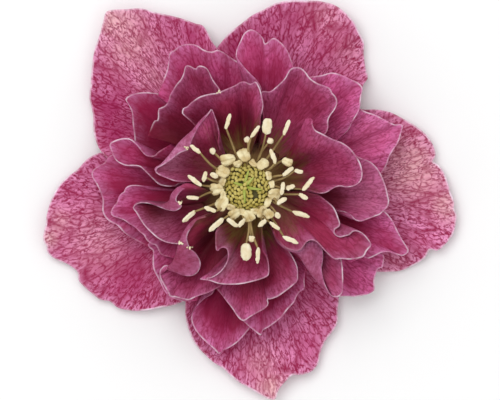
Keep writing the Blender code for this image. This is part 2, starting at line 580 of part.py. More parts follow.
def make_cushion():
    """The cushion of unopened anthers, oblong beads in a sunflower's spiral on a low dome."""
    dome = [(MIDDLE_HOLE, CUSHION_BOTTOM), (CUSHION_RADIUS - 0.35, CUSHION_BOTTOM)]
    for share in (0.95, 0.7, 0.42):
        radius = MIDDLE_HOLE + (CUSHION_RADIUS - 0.3 - MIDDLE_HOLE) * share
        dome.append((radius, CUSHION_BOTTOM + CUSHION_RISE * math.cos(share * math.pi / 2) + 0.25))
    dome.append((MIDDLE_HOLE, CUSHION_BOTTOM + CUSHION_RISE))
    core = closed_object("unopened_anthers", lathe(dome, 20), YELLOW_GREEN, 0.6)
    parts = []
    for n in range(8, 74):
        radius = 0.46 * math.sqrt(n)
        share = (radius - MIDDLE_HOLE) / (CUSHION_RADIUS - MIDDLE_HOLE)
        if share < 0.2 or radius > CUSHION_RADIUS - 0.3:
            continue
        degrees = n * 137.5
        height = CUSHION_BOTTOM + CUSHION_RISE * math.cos(share * math.pi / 2) + 0.3
        turn = math.radians(degrees + 25 * math.sin(n * 1.7))
        tilt = 0.9 - 0.7 * share
        bead = oblong(around(radius, degrees, height), (math.cos(turn), math.sin(turn), tilt), BEAD_LENGTH,
                      BEAD_WIDTH, BEAD_WIDTH, sides=4)
        parts.append(closed_object("bead", bead, YELLOW_GREEN))
    fuse(core, parts, "unopened_anthers")
    return core


def make_styles():
    """The few carpels in the middle, grown together at their foot, each with its tapered style."""
    foot_radius = MIDDLE_HOLE - 0.3
    foot = [(0, RECEPTACLE_TOP + 0.3), (foot_radius, RECEPTACLE_TOP + 0.3), (foot_radius, CUSHION_BOTTOM),
            (foot_radius - 0.1, CUSHION_BOTTOM + 0.9), (0, CUSHION_BOTTOM + 1.1)]
    core = closed_object("styles", lathe(foot, 14), LIME, 0.5)
    parts = []
    for offset, degrees, top in STYLES:
        path = [around(offset * 0.8, degrees, CUSHION_BOTTOM + 0.2),
                around(offset, degrees, (CUSHION_BOTTOM + top) / 2),
                around(offset * 1.25, degrees, top)]
        style = thread(path, [STYLE_RADIUS, STYLE_RADIUS * 0.85, STYLE_RADIUS * 0.6], 6)
        parts.append(closed_object("style", style, LIME))
    fuse(core, parts, "styles")
    return core


remove_everything()
laid = HeightMap()
for sepal, sepal_shape in SEPALS.items():
    make_blade(sepal, sepal_shape, laid, SEPAL_ROWS, SEPAL_THICKNESS, 4.4, PINK)
for petal, petal_shape in OUTER_PETALS.items():
    make_blade(petal, petal_shape, laid, PETAL_ROWS, PETAL_THICKNESS, 2.2, MAUVE)
for petal, petal_shape in INNER_PETALS.items():
    make_blade(petal, petal_shape, laid, PETAL_ROWS, PETAL_THICKNESS, 2.2, RASPBERRY)
make_receptacle()
make_stamens(laid)
make_cushion()
make_styles()
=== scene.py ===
"""The looks of a double hellebore bloom, picked and lying face up, built round its solid model.

Lengths are worked out in millimetres, from above: +X to the right sepal, +Y to the upper ones, +Z out of the face.
They are turned into metres when a mesh is made.
"""
import math

import bmesh
import bpy
import numpy as np
from mathutils import Matrix


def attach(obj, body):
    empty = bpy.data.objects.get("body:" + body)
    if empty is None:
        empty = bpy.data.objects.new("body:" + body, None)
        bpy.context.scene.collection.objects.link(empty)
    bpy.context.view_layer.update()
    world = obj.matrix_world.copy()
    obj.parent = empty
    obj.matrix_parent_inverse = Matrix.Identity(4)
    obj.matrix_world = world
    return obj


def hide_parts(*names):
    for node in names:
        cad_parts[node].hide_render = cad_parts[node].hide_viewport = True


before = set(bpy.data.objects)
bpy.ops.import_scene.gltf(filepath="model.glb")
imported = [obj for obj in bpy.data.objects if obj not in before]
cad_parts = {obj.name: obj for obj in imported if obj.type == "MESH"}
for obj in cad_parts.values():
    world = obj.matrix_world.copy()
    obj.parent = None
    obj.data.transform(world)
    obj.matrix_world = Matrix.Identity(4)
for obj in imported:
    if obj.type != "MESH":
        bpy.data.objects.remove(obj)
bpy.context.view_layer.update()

# ---- The table and the light
# A plain white table under the bloom, a bright even room, and one large soft lamp from the upper left. The camera
# looks straight down on the bloom, from far enough away that nothing is drawn larger for standing higher.

MM = 0.001
PICTURE_WIDTH = 87.8  # what the picture takes in, from side to side
PICTURE_MIDDLE = (-0.09, 0.0)
TABLE_HALF = 0.9  # this and the next two in metres
CAMERA_HEIGHT = 0.6
LAMP_PLACE = (-0.24, 0.32, 0.8)


def new_object(name, data):
    """Puts a mesh, a lamp or a camera into the scene, at the origin."""
    thing = bpy.data.objects.new(name, data)
    bpy.context.scene.collection.objects.link(thing)
    return thing


def bare_finish(name):
    """A new material with nothing in it but its Principled shader."""
    material = bpy.data.materials.new(name)
    material.use_nodes = True
    return material, material.node_tree, material.node_tree.nodes["Principled BSDF"]


table_mesh = bpy.data.meshes.new("table")
table_mesh.from_pydata([(TABLE_HALF * x, TABLE_HALF * y, 0) for x, y in ((-1, -1), (1, -1), (1, 1), (-1, 1))], [],
                       [(0, 1, 2, 3)])
table = new_object("table", table_mesh)
table_finish, _, table_shader = bare_finish("table_white")
table_shader.inputs["Base Color"].default_value = (0.93, 0.93, 0.93, 1)
table_shader.inputs["Roughness"].default_value = 0.9
table_shader.inputs["Specular IOR Level"].default_value = 0.1
table_mesh.materials.append(table_finish)

room = bpy.data.worlds.new("room")
room.use_nodes = True
room.node_tree.nodes["Background"].inputs["Color"].default_value = (1, 1, 1, 1)
room.node_tree.nodes["Background"].inputs["Strength"].default_value = 0.82
bpy.context.scene.world = room

window = bpy.data.lights.new("window_light", "AREA")
window.size = 0.6
window.energy = 3.0
lamp = new_object("window_light", window)
lamp.location = LAMP_PLACE
lamp.rotation_euler = (-lamp.location).to_track_quat("-Z", "Y").to_euler()

camera_data = bpy.data.cameras.new("camera")
camera_data.type = "ORTHO"
camera_data.ortho_scale = PICTURE_WIDTH * MM
camera_data.clip_start = 0.01
camera = new_object("camera", camera_data)
camera.location = (PICTURE_MIDDLE[0] * MM, PICTURE_MIDDLE[1] * MM, CAMERA_HEIGHT)
bpy.context.scene.camera = camera
bpy.context.scene.view_settings.view_transform = "Standard"

# ---- The sepals
# The five broad outer leaves of the bloom, thin, tough and slightly puffed between their veins. They carry all the
# rest and are freckled and netted with crimson. Each grows from its own claw on the receptacle and rests on its back.

AXIS = np.array((-0.6, 2.1))  # where the receptacle stands
CLAW_RADIUS = 4.0  # how far from the axis the claws spring
SEPAL_ROOM = 0.7  # how thick a sepal counts when it is laid on the pile
AIR = 0.34  # left between a blade and what it lies on
RESTING = 0.4  # the back of a sepal is flat on the table where it comes lower than this
CELL = 0.4  # side of a square in the map of the pile
HALF_SPAN = 44.0  # how far the map reaches to each side
COLUMN_STEP = 0.42  # between the columns of a blade, along its rim
BLADE_ROWS = 26
PATH_STEPS = 41  # points from claw to rim before they are evened out
ROLL_STEPS = 13  # and round a rolled margin
LIP = 1.5  # how far a rolled margin rises from its fold
CRINKLE = 0.12
THIN_MARGIN = 1.2  # the blade thins towards its rim from here
LAY_TRIES = 60


def run_length(points, axis=0):
    """How far along its line each point is."""
    steps = np.cumsum(np.linalg.norm(np.diff(points, axis=axis), axis=-1), axis=axis)
    return np.concatenate([np.zeros_like(np.take(steps, [0], axis)), steps], axis=axis)


def sampled(places, known, points):
    """The points of a line at new places along it."""
    return np.stack([np.interp(places, known, column) for column in points.T], axis=1)


def through(points, count=None, step=None):
    """A smooth line through the given points, as even points along it, and each given point's share of its length."""
    points = np.array(points, float)
    knots = np.concatenate([[0], np.cumsum(np.linalg.norm(np.diff(points, axis=0), axis=1) ** 0.5)])
    slope = np.gradient(points, knots, axis=0)
    between = 12
    t = np.linspace(0, 1, between, endpoint=False)[:, None]
    dense = [(2 * t**3 - 3 * t**2 + 1) * points[i] + (t**3 - 2 * t**2 + t) * span * slope[i]
             + (3 * t**2 - 2 * t**3) * points[i + 1] + (t**3 - t**2) * span * slope[i + 1]
             for i, span in enumerate(np.diff(knots))]
    dense = np.concatenate([*dense, points[-1:]])
    length = run_length(dense)
    count = count or max(24, int(length[-1] / step))
    return sampled(np.linspace(0, length[-1], count), length, dense), length[::between] / length[-1]


def eased(line, reach):
    """The line without its small bends. Reach is how far along it, in points, each bend is spread."""
    if line.ndim > 1:
        return np.stack([eased(column, reach) for column in line.T], axis=1)
    if reach < 0.3:
        return line.copy()
    wide = min(int(3 * reach) + 1, len(line) - 1)
    weight = np.exp(-0.5 * (np.arange(-wide, wide + 1) / reach) ** 2)
    before = 2 * line[0] - line[wide:0:-1]
    after = 2 * line[-1] - line[-2:-wide - 2:-1]
    return np.convolve(np.concatenate([before, line, after]), weight / weight.sum(), "valid")


def evenly(values, count):
    """Reads a short row of values at count even steps, smoothly."""
    row = np.interp(np.linspace(0, 1, count), np.linspace(0, 1, len(values)), values)
    return eased(row, count / len(values) / 4)


def blade_paths(rim, edge, claw, claw_width, base=None, cup=1.0, sag=0.0, wave=(0, 1), fold=1.2, late=3.0,
                crest=None, seed=0):
    """The middle surface of a blade as one path from the claw to the rim for each column.

    Rim is the outline from one foot round to the other, edge the heights along it, and wave the height and number
    of its ruffles. Claw is the height of the foot, claw_width its width and base its direction in degrees. Cup bends
    the blade up late, sag lets its middle hang, and fold and late say how bends of the rim die out inward. Crest is
    the line at which a rolled margin turns inward to the rim, up to where the two run together.
    """
    rim = np.array(rim, float)
    line, given = through(rim, step=COLUMN_STEP)
    count = len(line)
    across = np.linspace(0, 1, count)
    aim = line[count // 4: count - count // 4].mean(axis=0) - AXIS
    turn = math.atan2(aim[1], aim[0]) if base is None else math.radians(base)
    forward = np.array((math.cos(turn), math.sin(turn)))
    first = line[0] - AXIS
    side = math.copysign(1, forward[0] * first[1] - forward[1] * first[0])
    spread = turn + np.linspace(side, -side, count) * claw_width / 2 / CLAW_RADIUS
    root = AXIS + CLAW_RADIUS * np.stack([np.cos(spread), np.sin(spread)], axis=1)
    rim_height = evenly(edge, count) + wave[0] * np.sin(2 * math.pi * wave[1] * across)
    body, hang = line, np.zeros(count)
    if crest:
        crest = np.array(crest, float)
        body = eased(sampled(across, given, np.concatenate([crest, rim[len(crest):]])), 1.0)
        hang = LIP * np.clip(np.linalg.norm(body - line, axis=1) / 0.5, 0, 1)
    soft = eased(body, fold / COLUMN_STEP)
    ahead = ((soft - root) @ forward)[:, None] * forward
    beside = soft - root - ahead
    path = []
    for s in np.linspace(0, 1, PATH_STEPS):
        height = claw + (rim_height - hang - claw) * s ** cup - sag * 4 * s * (1 - s) * np.sin(math.pi * across) ** 0.5
        path.append(np.column_stack([root + ahead * s + beside * s ** 1.4 + (body - soft) * s ** late, height]))
    if crest is not None:
        for s in np.linspace(0, math.pi / 2, ROLL_STEPS)[1:]:
            path.append(np.column_stack([body + (line - body) * (1 - math.cos(s)),
                                         rim_height - hang * (1 - math.sin(s))]))
    path = np.stack(path, axis=1)
    for _ in range(0 if crest is None else 8):
        path[:, 1:-1] = path[:, 1:-1] / 2 + (path[:, :-2] + path[:, 2:]) / 4
    rng = np.random.default_rng(seed)
    share = np.linspace(0, 1, path.shape[1])
    for k in range(5):
        ripples = rng.uniform(1.2, 3.0) * (k + 1)
        phase = rng.uniform(0, 2 * math.pi)
        drift = rng.uniform(-2, 2)
        relief = np.sin(2 * math.pi * ripples * across[:, None] + phase + drift * share)
        path[:, :, 2] += CRINKLE * relief * share ** 1.5 / (k + 1) ** 0.5
    return path


def even_rows(path, rows):
    """The same paths with a set number of points, closer together towards the rim."""
    share = 1 - (1 - np.linspace(0, 1, rows)) ** 1.35
    return np.stack([sampled(share * length[-1], length, line) for length, line in zip(run_length(path, 1), path)])


def sheet_normals(grid):
    """The unit normal at each point of a sheet, upward where it lies flat."""
    normal = np.cross(np.gradient(grid, axis=1), np.gradient(grid, axis=0))
    normal /= np.linalg.norm(normal, axis=2, keepdims=True) + 1e-12
    rows = normal.shape[1]
    if normal[:, rows // 4: rows * 3 // 4, 2].sum() < 0:
        normal = -normal
    foot = normal[:, :2].sum(axis=(0, 1))
    normal[:, 0] = foot / np.linalg.norm(foot)
    return normal


class Pile:
    """The highest surface laid so far over each small square of the plan."""

    def __init__(self):
        self.count = int(2 * HALF_SPAN / CELL)
        self.top = np.zeros((self.count, self.count))

    def cells(self, points):
        """The squares that points lie over."""
        place = ((points[..., :2] + HALF_SPAN) / CELL).astype(int)
        return tuple(np.moveaxis(np.clip(place, 0, self.count - 1), -1, 0))

    def spread_top(self, reach):
        """The map with every height carried reach squares outward."""
        wide = self.top
        for _ in range(reach):
            held = np.pad(wide, 1)
            wide = np.max([held[i:i + self.count, j:j + self.count] for i in range(3) for j in range(3)], axis=0)
        return wide

    def add(self, points):
        """Raises the map to the points."""
        np.maximum.at(self.top, self.cells(points), points[..., 2])


def smoothed(field, passes):
    """Evens out a field over a sheet."""
    for _ in range(passes):
        wide = np.pad(field, 1, mode="edge")
        field = (wide[:-2, 1:-1] + wide[2:, 1:-1] + wide[1:-1, :-2] + wide[1:-1, 2:] + 4 * field) / 8
    return field


def lay(grid, room, pile):
    """Raises a sheet until it lies clear of all that is under it, then adds it to the pile."""
    under = pile.spread_top(2)
    start = grid[..., 2].copy()
    lift = np.zeros_like(start)
    for _ in range(LAY_TRIES):
        bottom = grid - sheet_normals(grid) * room / 2
        floor = under[pile.cells(bottom)]
        needed = np.where(floor > 0, floor + AIR, 0) - bottom[..., 2]
        if needed.max() < 0.02:
            break
        lift = lift + np.maximum(needed, 0) * 0.7
        lift = np.maximum(lift, smoothed(lift, 6))
        grid[..., 2] = start + lift
    grid[..., 2] = start + np.maximum(smoothed(lift, 10), 0)
    normals = sheet_normals(grid)
    for face in (grid - normals * room / 2, grid + normals * room / 2):
        pile.add(face)
        pile.add((face[1:] + face[:-1]) / 2)
        pile.add((face[:, 1:] + face[:, :-1]) / 2)
    return grid


def closed_mesh(name, points, faces, **columns):
    """A closed mesh with its faces turned outward and one number at each point for every named column."""
    mesh = bpy.data.meshes.new(name)
    mesh.from_pydata(points, [], faces)
    bm = bmesh.new()
    bm.from_mesh(mesh)
    bmesh.ops.recalc_face_normals(bm, faces=bm.faces)
    bm.to_mesh(mesh)
    bm.free()
    for label, column in columns.items():
        store = mesh.attributes.new(label, "FLOAT", "POINT")
        store.data.foreach_set("value", column.astype(np.float32))
    mesh.shade_smooth()
    return mesh


def blade_mesh(name, grid, thickness, rim_thickness, resting, patches, tint, opened):
    """A closed thin blade round a sheet, thinner and rounded at its rim, with what its finish reads.

    Each patch is x, y, reach and strength. Above 0 it pales the skin, below 0 it deepens it, and below -1 it also
    paints the shade of a dark hollow over it.
    """
    columns, rows = grid.shape[:2]
    size = columns * rows
    normals = sheet_normals(grid)
    along, beside = run_length(grid, 1), run_length(grid, 0)
    margin = np.minimum(along[:, -1:] - along, np.minimum(beside, beside[-1:] - beside))
    half = (rim_thickness + (thickness - rim_thickness) * np.clip(margin / THIN_MARGIN, 0, 1) ** 0.7) / 2
    share = np.linspace(0, 1, columns)[:, None] + np.zeros(rows)
    top, bottom = grid + normals * half[..., None], grid - normals * half[..., None]
    bottom[..., 2] = np.where(bottom[..., 2] < resting, 0, bottom[..., 2])
    ring = [(i, 0) for i in range(columns)] + [(columns - 1, j) for j in range(1, rows)]
    ring += [(i, rows - 1) for i in range(columns - 2, -1, -1)] + [(0, j) for j in range(rows - 2, 0, -1)]
    ring = tuple(np.array(ring).T)
    edge = grid[ring]
    outward = np.cross(np.roll(edge, -1, axis=0) - np.roll(edge, 1, axis=0), normals[ring])
    outward /= np.linalg.norm(outward, axis=1, keepdims=True) + 1e-12
    if ((edge - grid.reshape(-1, 3).mean(axis=0)) * outward).sum() < 0:
        outward = -outward
    points = np.concatenate([top.reshape(-1, 3), bottom.reshape(-1, 3),
                             edge + outward * (half[ring] * 0.8)[:, None]])
    index = np.arange(size).reshape(columns, rows)
    a, b, c, d = index[:-1, :-1], index[1:, :-1], index[1:, 1:], index[:-1, 1:]
    rim, lip = index[ring], np.arange(len(edge)) + 2 * size
    rim_next, lip_next = np.roll(rim, -1), np.roll(lip, -1)
    quads = [(a, b, c, d), (a + size, d + size, c + size, b + size), (rim, lip, lip_next, rim_next),
             (rim + size, rim_next + size, lip_next, lip)]
    faces = np.concatenate([np.stack(quad, axis=-1).reshape(-1, 4) for quad in quads]).tolist()
    faded, hollow, tint = np.zeros(len(points)), np.zeros(len(points)), np.full(len(points), tint)
    for x, y, reach, strength in patches:
        near = np.exp(-(np.linalg.norm(points[:, :2] - (x, y), axis=1) / reach) ** 2)
        if strength > 0:
            faded = np.maximum(faded, strength * near)
        else:
            tint += strength * near
            hollow = np.maximum(hollow, -(strength + 1) * near)
    # The last field fades the pale rim and the bright hem out towards the sides near the claw, which lie in shade, so
    # the painted highlight of the hem stays where the rim catches the light.
    fields = {"margin": margin, "fan": (share - 0.5) * beside[-1, -1], "length": along,
              "lit_rim": np.clip((np.minimum(share, 1 - share) - 0.03) / 0.12, 0, 1)}
    return closed_mesh(name, (points * MM).tolist(), faces, faded=faded, tint=tint, hollow=hollow,
                       under=np.repeat((0, 1, 0), (size, size, len(edge))),
                       own=np.full(len(points), sum(map(ord, name)) % 97 * 1.7),
                       open=np.full(len(points), opened),
                       **{label: np.concatenate([field.ravel(), field.ravel(), field[ring]])
                          for label, field in fields.items()})


def grow_whorl(shapes, usual, room, thickness, rim_thickness, finish, resting=0):
    """Petals or sepals, each shaped, laid on the pile, given its thickness and finish, and put in its solid's place.

    Usual is what a shape says where it doesn't say otherwise.
    """
    for name, shape in shapes.items():
        shape = {**usual, **shape}
        traits = shape.pop("patches", ()), shape.pop("tint"), shape.pop("open", 0.0)
        grid = lay(even_rows(blade_paths(seed=sum(map(ord, name)), **shape), BLADE_ROWS), room, pile)
        blade = new_object(name + "_blade", blade_mesh(name, grid, thickness, rim_thickness, resting, *traits))
        blade.data.materials.append(finish)
        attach(blade, "root")
        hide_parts(name)


class Wire:
    """What comes out of a node. A sum with it is a node of the same tree."""

    def __init__(self, socket):
        self.socket = socket

    def __add__(self, other):
        return maths("ADD", self, other)

    def __radd__(self, other):
        return maths("ADD", other, self)

    def __sub__(self, other):
        return maths("SUBTRACT", self, other)

    def __rsub__(self, other):
        return maths("SUBTRACT", other, self)

    def __mul__(self, other):
        return maths("MULTIPLY", self, other)

    def __truediv__(self, other):
        return maths("DIVIDE", self, other)


def fill(node, joined):
    """Joins wires to a node's inputs and sets plain values on the others."""
    for slot, source in joined.items():
        if isinstance(source, Wire):
            node.id_data.links.new(source.socket, node.inputs[slot])
        else:
            node.inputs[slot].default_value = source


def add(tree, kind, joined=None, **settings):
    """Adds one node to a tree, sets it up, and joins or sets its inputs. Shader nodes go by their short names."""
    node = tree.nodes.new(kind if "Node" in kind else "ShaderNode" + kind)
    for key, value in settings.items():
        setattr(node, key, value)
    fill(node, joined or {})
    return node


def wire(tree, kind, joined=None, output=0, **settings):
    """Adds one node to a tree and hands on one of its outputs."""
    return Wire(add(tree, kind, joined, **settings).outputs[output])


def tree_of(*values):
    """The tree that the wires among some values belong to."""
    return next(value.socket.id_data for value in values if isinstance(value, Wire))


def maths(operation, *values):
    """One sum."""
    return wire(tree_of(*values), "Math", dict(enumerate(values)), operation=operation)


def vectors(operation, *values, output=0, **named):
    """One sum with places or directions."""
    return wire(tree_of(*values), "VectorMath", {**dict(enumerate(values)), **named}, output, operation=operation)


def split(vector):
    """The three parts of a place or direction."""
    return [Wire(socket) for socket in add(tree_of(vector), "SeparateXYZ", {0: vector}).outputs]


def combined(x, y, z):
    """A place or direction from its three parts."""
    return wire(tree_of(x, y, z), "CombineXYZ", {0: x, 1: y, 2: z})


def fade(value, low, high, to_low=0.0, to_high=1.0):
    """Maps low..high of a value to to_low..to_high, held at both ends."""
    return wire(tree_of(value), "MapRange", {"Value": value, "From Min": low, "From Max": high, "To Min": to_low,
                                             "To Max": to_high}, clamp=True)


def noise(place, scale, detail=3.0, output=0, **more):
    """A cloudy value that changes from place to place."""
    return wire(tree_of(place), "TexNoise", {"Vector": place, "Scale": scale, "Detail": detail, **more}, output)


def blend(share, one, other):
    """Mixes two colours, by the colour sockets of the node."""
    one, other = (tone if isinstance(tone, Wire) else (*tone, 1) for tone in (one, other))
    return wire(tree_of(share, one, other), "Mix", {0: share, 6: one, 7: other}, 2, data_type="RGBA")


def toned(tone, share, base=0.0):
    """A share of a tone, over a grey base."""
    return tuple(base + share * part for part in tone)


def from_axis(place):
    """How far a place is from the bloom's axis, seen from above, in millimetres."""
    centred = vectors("SUBTRACT", place, (AXIS[0] * MM, AXIS[1] * MM, 0))
    return vectors("LENGTH", vectors("MULTIPLY", centred, (1, 1, 0)), output="Value") / MM


def petal_skin(name, pale, deep, heart, net_tone, net, streak, dash, freckle, rim_tone, rim_zone, patch, heart_reach,
               cell, throat=None, depth=0.0, back_shade=0.0, relief=0.4, back_foot=None):
    """The skin of a petal or sepal.

    Pale and deep are the tones it wanders between, heart and throat its tones near the claw, patch its faded tone.
    The dark heart of a petal is partly its own tone and partly painted shade.
    Net, streak, dash and freckle are the strengths of its crimson marks, cell the width and length of a mesh of the
    net. Rim_zone is where the paling rim starts and ends and how strong it is. Depth deepens the skin away from its
    rim, partly as its own deeper tone and partly as painted shade; back_shade paints shade on the back away from its
    rim, and back_foot is the tone of the back near the claw.
    """
    material, tree, shader = bare_finish(name)

    def read(label):
        return wire(tree, "Attribute", output="Fac", attribute_name=label)

    margin, worn_spots, lit_rim = read("margin"), read("faded"), read("lit_rim")
    flow = combined(read("fan"), read("length"), read("own"))
    place = wire(tree, "TexCoord", output="Object")
    wander = vectors("SUBTRACT", noise(flow, 0.4, output="Color"), (0.5, 0.5, 0.5))
    bent = vectors("ADD", flow, vectors("MULTIPLY", wander, (1.1, 1.3, 0)))

    def stretched(across, along):
        return wire(tree, "Mapping", {"Vector": bent, "Scale": (1 / across, 1 / along, 1)})

    def cells(across, along, feature="DISTANCE_TO_EDGE"):
        return add(tree, "TexVoronoi", {"Vector": stretched(across, along), "Scale": 1.0, "Randomness": 1.0},
                   feature=feature, voronoi_dimensions="2D").outputs

    def cloud(across, along, detail=3.0, rough=0.55):
        return noise(stretched(across, along), 1.0, detail, Roughness=rough)

    patches, uneven = cloud(5.0, 7.0), cloud(1.6, 2.6)
    # Depth darkens the tint inward from the rim: partly the petal's own deeper tone, partly painted shade where it
    # runs in under other petals.
    tint = read("tint") + (patches - 0.5) * 2.1 - fade(margin, 1.0, 7.5, 0.0, depth)
    colour = blend(fade(tint, 0.0, 1.0), deep, pale)
    worn = worn_spots * fade(uneven, 0.2, 0.55, 0.55, 1.0)
    colour = blend(worn, colour, patch)
    near_rim = fade(margin, *rim_zone, 0.0) * fade(uneven, 0.3, 0.7, 1.0, 0.45) * lit_rim
    colour = blend(near_rim, colour, rim_tone)

    # The marks: long streaks, short dashes, and the net between the main veins.
    main = fade(Wire(cells(3.2, 16.0)["Distance"]), 0.0, 0.09, 1.0, 0.0)
    wide = fade(uneven, 0.35, 0.65, 0.09, 0.38)
    net_lines = maths("POWER", fade(Wire(cells(*cell)["Distance"]) / wide, 0.0, 1.15, 1.0, 0.0), 1.3)
    net_lines = net_lines * fade(cloud(0.9, 1.2, 2.0), 0.38, 0.54, 0.1, 1.0)
    veins = maths("MAXIMUM", main * fade(uneven, 0.3, 0.55, 0.25, 1.0), net_lines)
    dashes = fade(cloud(0.36, 0.7, 2.0, 0.5), 0.54, 0.62) * fade(patches, 0.3, 0.6, 0.35, 1.0)
    streaks = fade(cloud(0.5, 3.2, 4.0, 0.6), 0.42, 0.7)
    clear = fade(worn, 0.0, 1.0, 1.0, 0.6)
    for marks, strength in ((streaks, streak), (dashes, dash), (veins, net)):
        colour = blend(marks * strength * clear, colour, net_tone)
    spots = cells(0.5, 0.62, "F1")
    chosen = wire(tree, "SeparateColor", {"Color": Wire(spots["Color"])})
    dots = fade(Wire(spots["Distance"]), 0.2, 0.42, 1.0, 0.0) * fade(chosen, 0.5, 0.62)
    dots = dots * fade(patches + worn_spots * 0.25, 0.45, 0.68)
    colour = blend(dots * freckle, colour, toned(net_tone, 0.8))

    # The foot: darker towards the claw, partly the petal's own tone and partly painted shade, and olive in the throat;
    # both less so where the petal stands open to the light.
    away = from_axis(place) + (streaks - 0.5) * 3.0 + (0.5 - patches) * 12.0
    shut = (1.0 - read("open")) * (1.0 - worn)
    colour = blend(fade(away, *heart_reach, 0.9, 0.0) * shut, colour, heart)
    # Painted shade: where a patch is below -1 the skin is darkened towards the heart tone, as in a hollow between
    # petals.
    colour = blend(read("hollow"), colour, toned(heart, 0.6))
    if throat:
        colour = blend(fade(away, throat[0], throat[1], 1.0, 0.0) * shut, colour, throat[2])
    # The hem: a thin bright line along the rim, partly the petal's own pale edge and partly a painted highlight; it is
    # kept off the sides near the claw and off the shaded throat.
    hem_and_highlight = fade(margin, 0.02, 0.24, 0.92, 0.0) * fade(uneven, 0.32, 0.66, 0.2, 1.0)
    hem_and_highlight = hem_and_highlight * fade(cloud(3.5, 3.5, 2.0), 0.38, 0.58, 0.25, 1.0) * (lit_rim * fade(away, 8.0, 14.0))
    colour = blend(hem_and_highlight, colour, toned(rim_tone, 0.5, 0.5))

    # The back: duller and mottled, with painted shade deepening it away from the rim, and green at the foot of a
    # sepal.
    back = blend(fade(margin, 0.3, 3.2, 0.0, back_shade) * shut, blend(0.25, colour, rim_tone), toned(deep, 0.6))
    back = blend(fade(noise(place, 1100.0, 4.0, Roughness=0.65), 0.42, 0.62, 0.0, 0.5), back, net_tone)
    if back_foot:
        back = blend(fade(away, 4.0, 17.0, 0.75, 0.0), back, back_foot)
    colour = blend(fade(read("under"), 0.4, 0.6), colour, back)

    grain = noise(place, 9000.0, 2.0)
    height = grain * 0.08 - veins * 0.25 + streaks * 0.6
    fill(shader, {"Base Color": colour, "Roughness": 0.5 + (grain - 0.5) * 0.25, "Specular IOR Level": 0.1,
                  "Sheen Weight": 0.03, "Sheen Roughness": 0.4, "Sheen Tint": (0.9, 0.6, 0.85, 1),
                  "Normal": wire(tree, "Bump", {"Height": height, "Strength": relief, "Distance": 0.0001})})
    return material


sepal_skin = petal_skin("sepal_skin", pale=(0.90, 0.31, 0.58), deep=(0.50, 0.066, 0.20), heart=(0.44, 0.024, 0.10),
                        net_tone=(0.31, 0.007, 0.062), net=1.0, streak=0.34, dash=0.95, freckle=0.65,
                        rim_tone=(0.84, 0.48, 0.72), rim_zone=(0.2, 2.4, 0.3), patch=(0.95, 0.57, 0.58),
                        heart_reach=(12.0, 24.0), relief=0.09, back_foot=(0.46, 0.36, 0.17), cell=(1.05, 1.6))

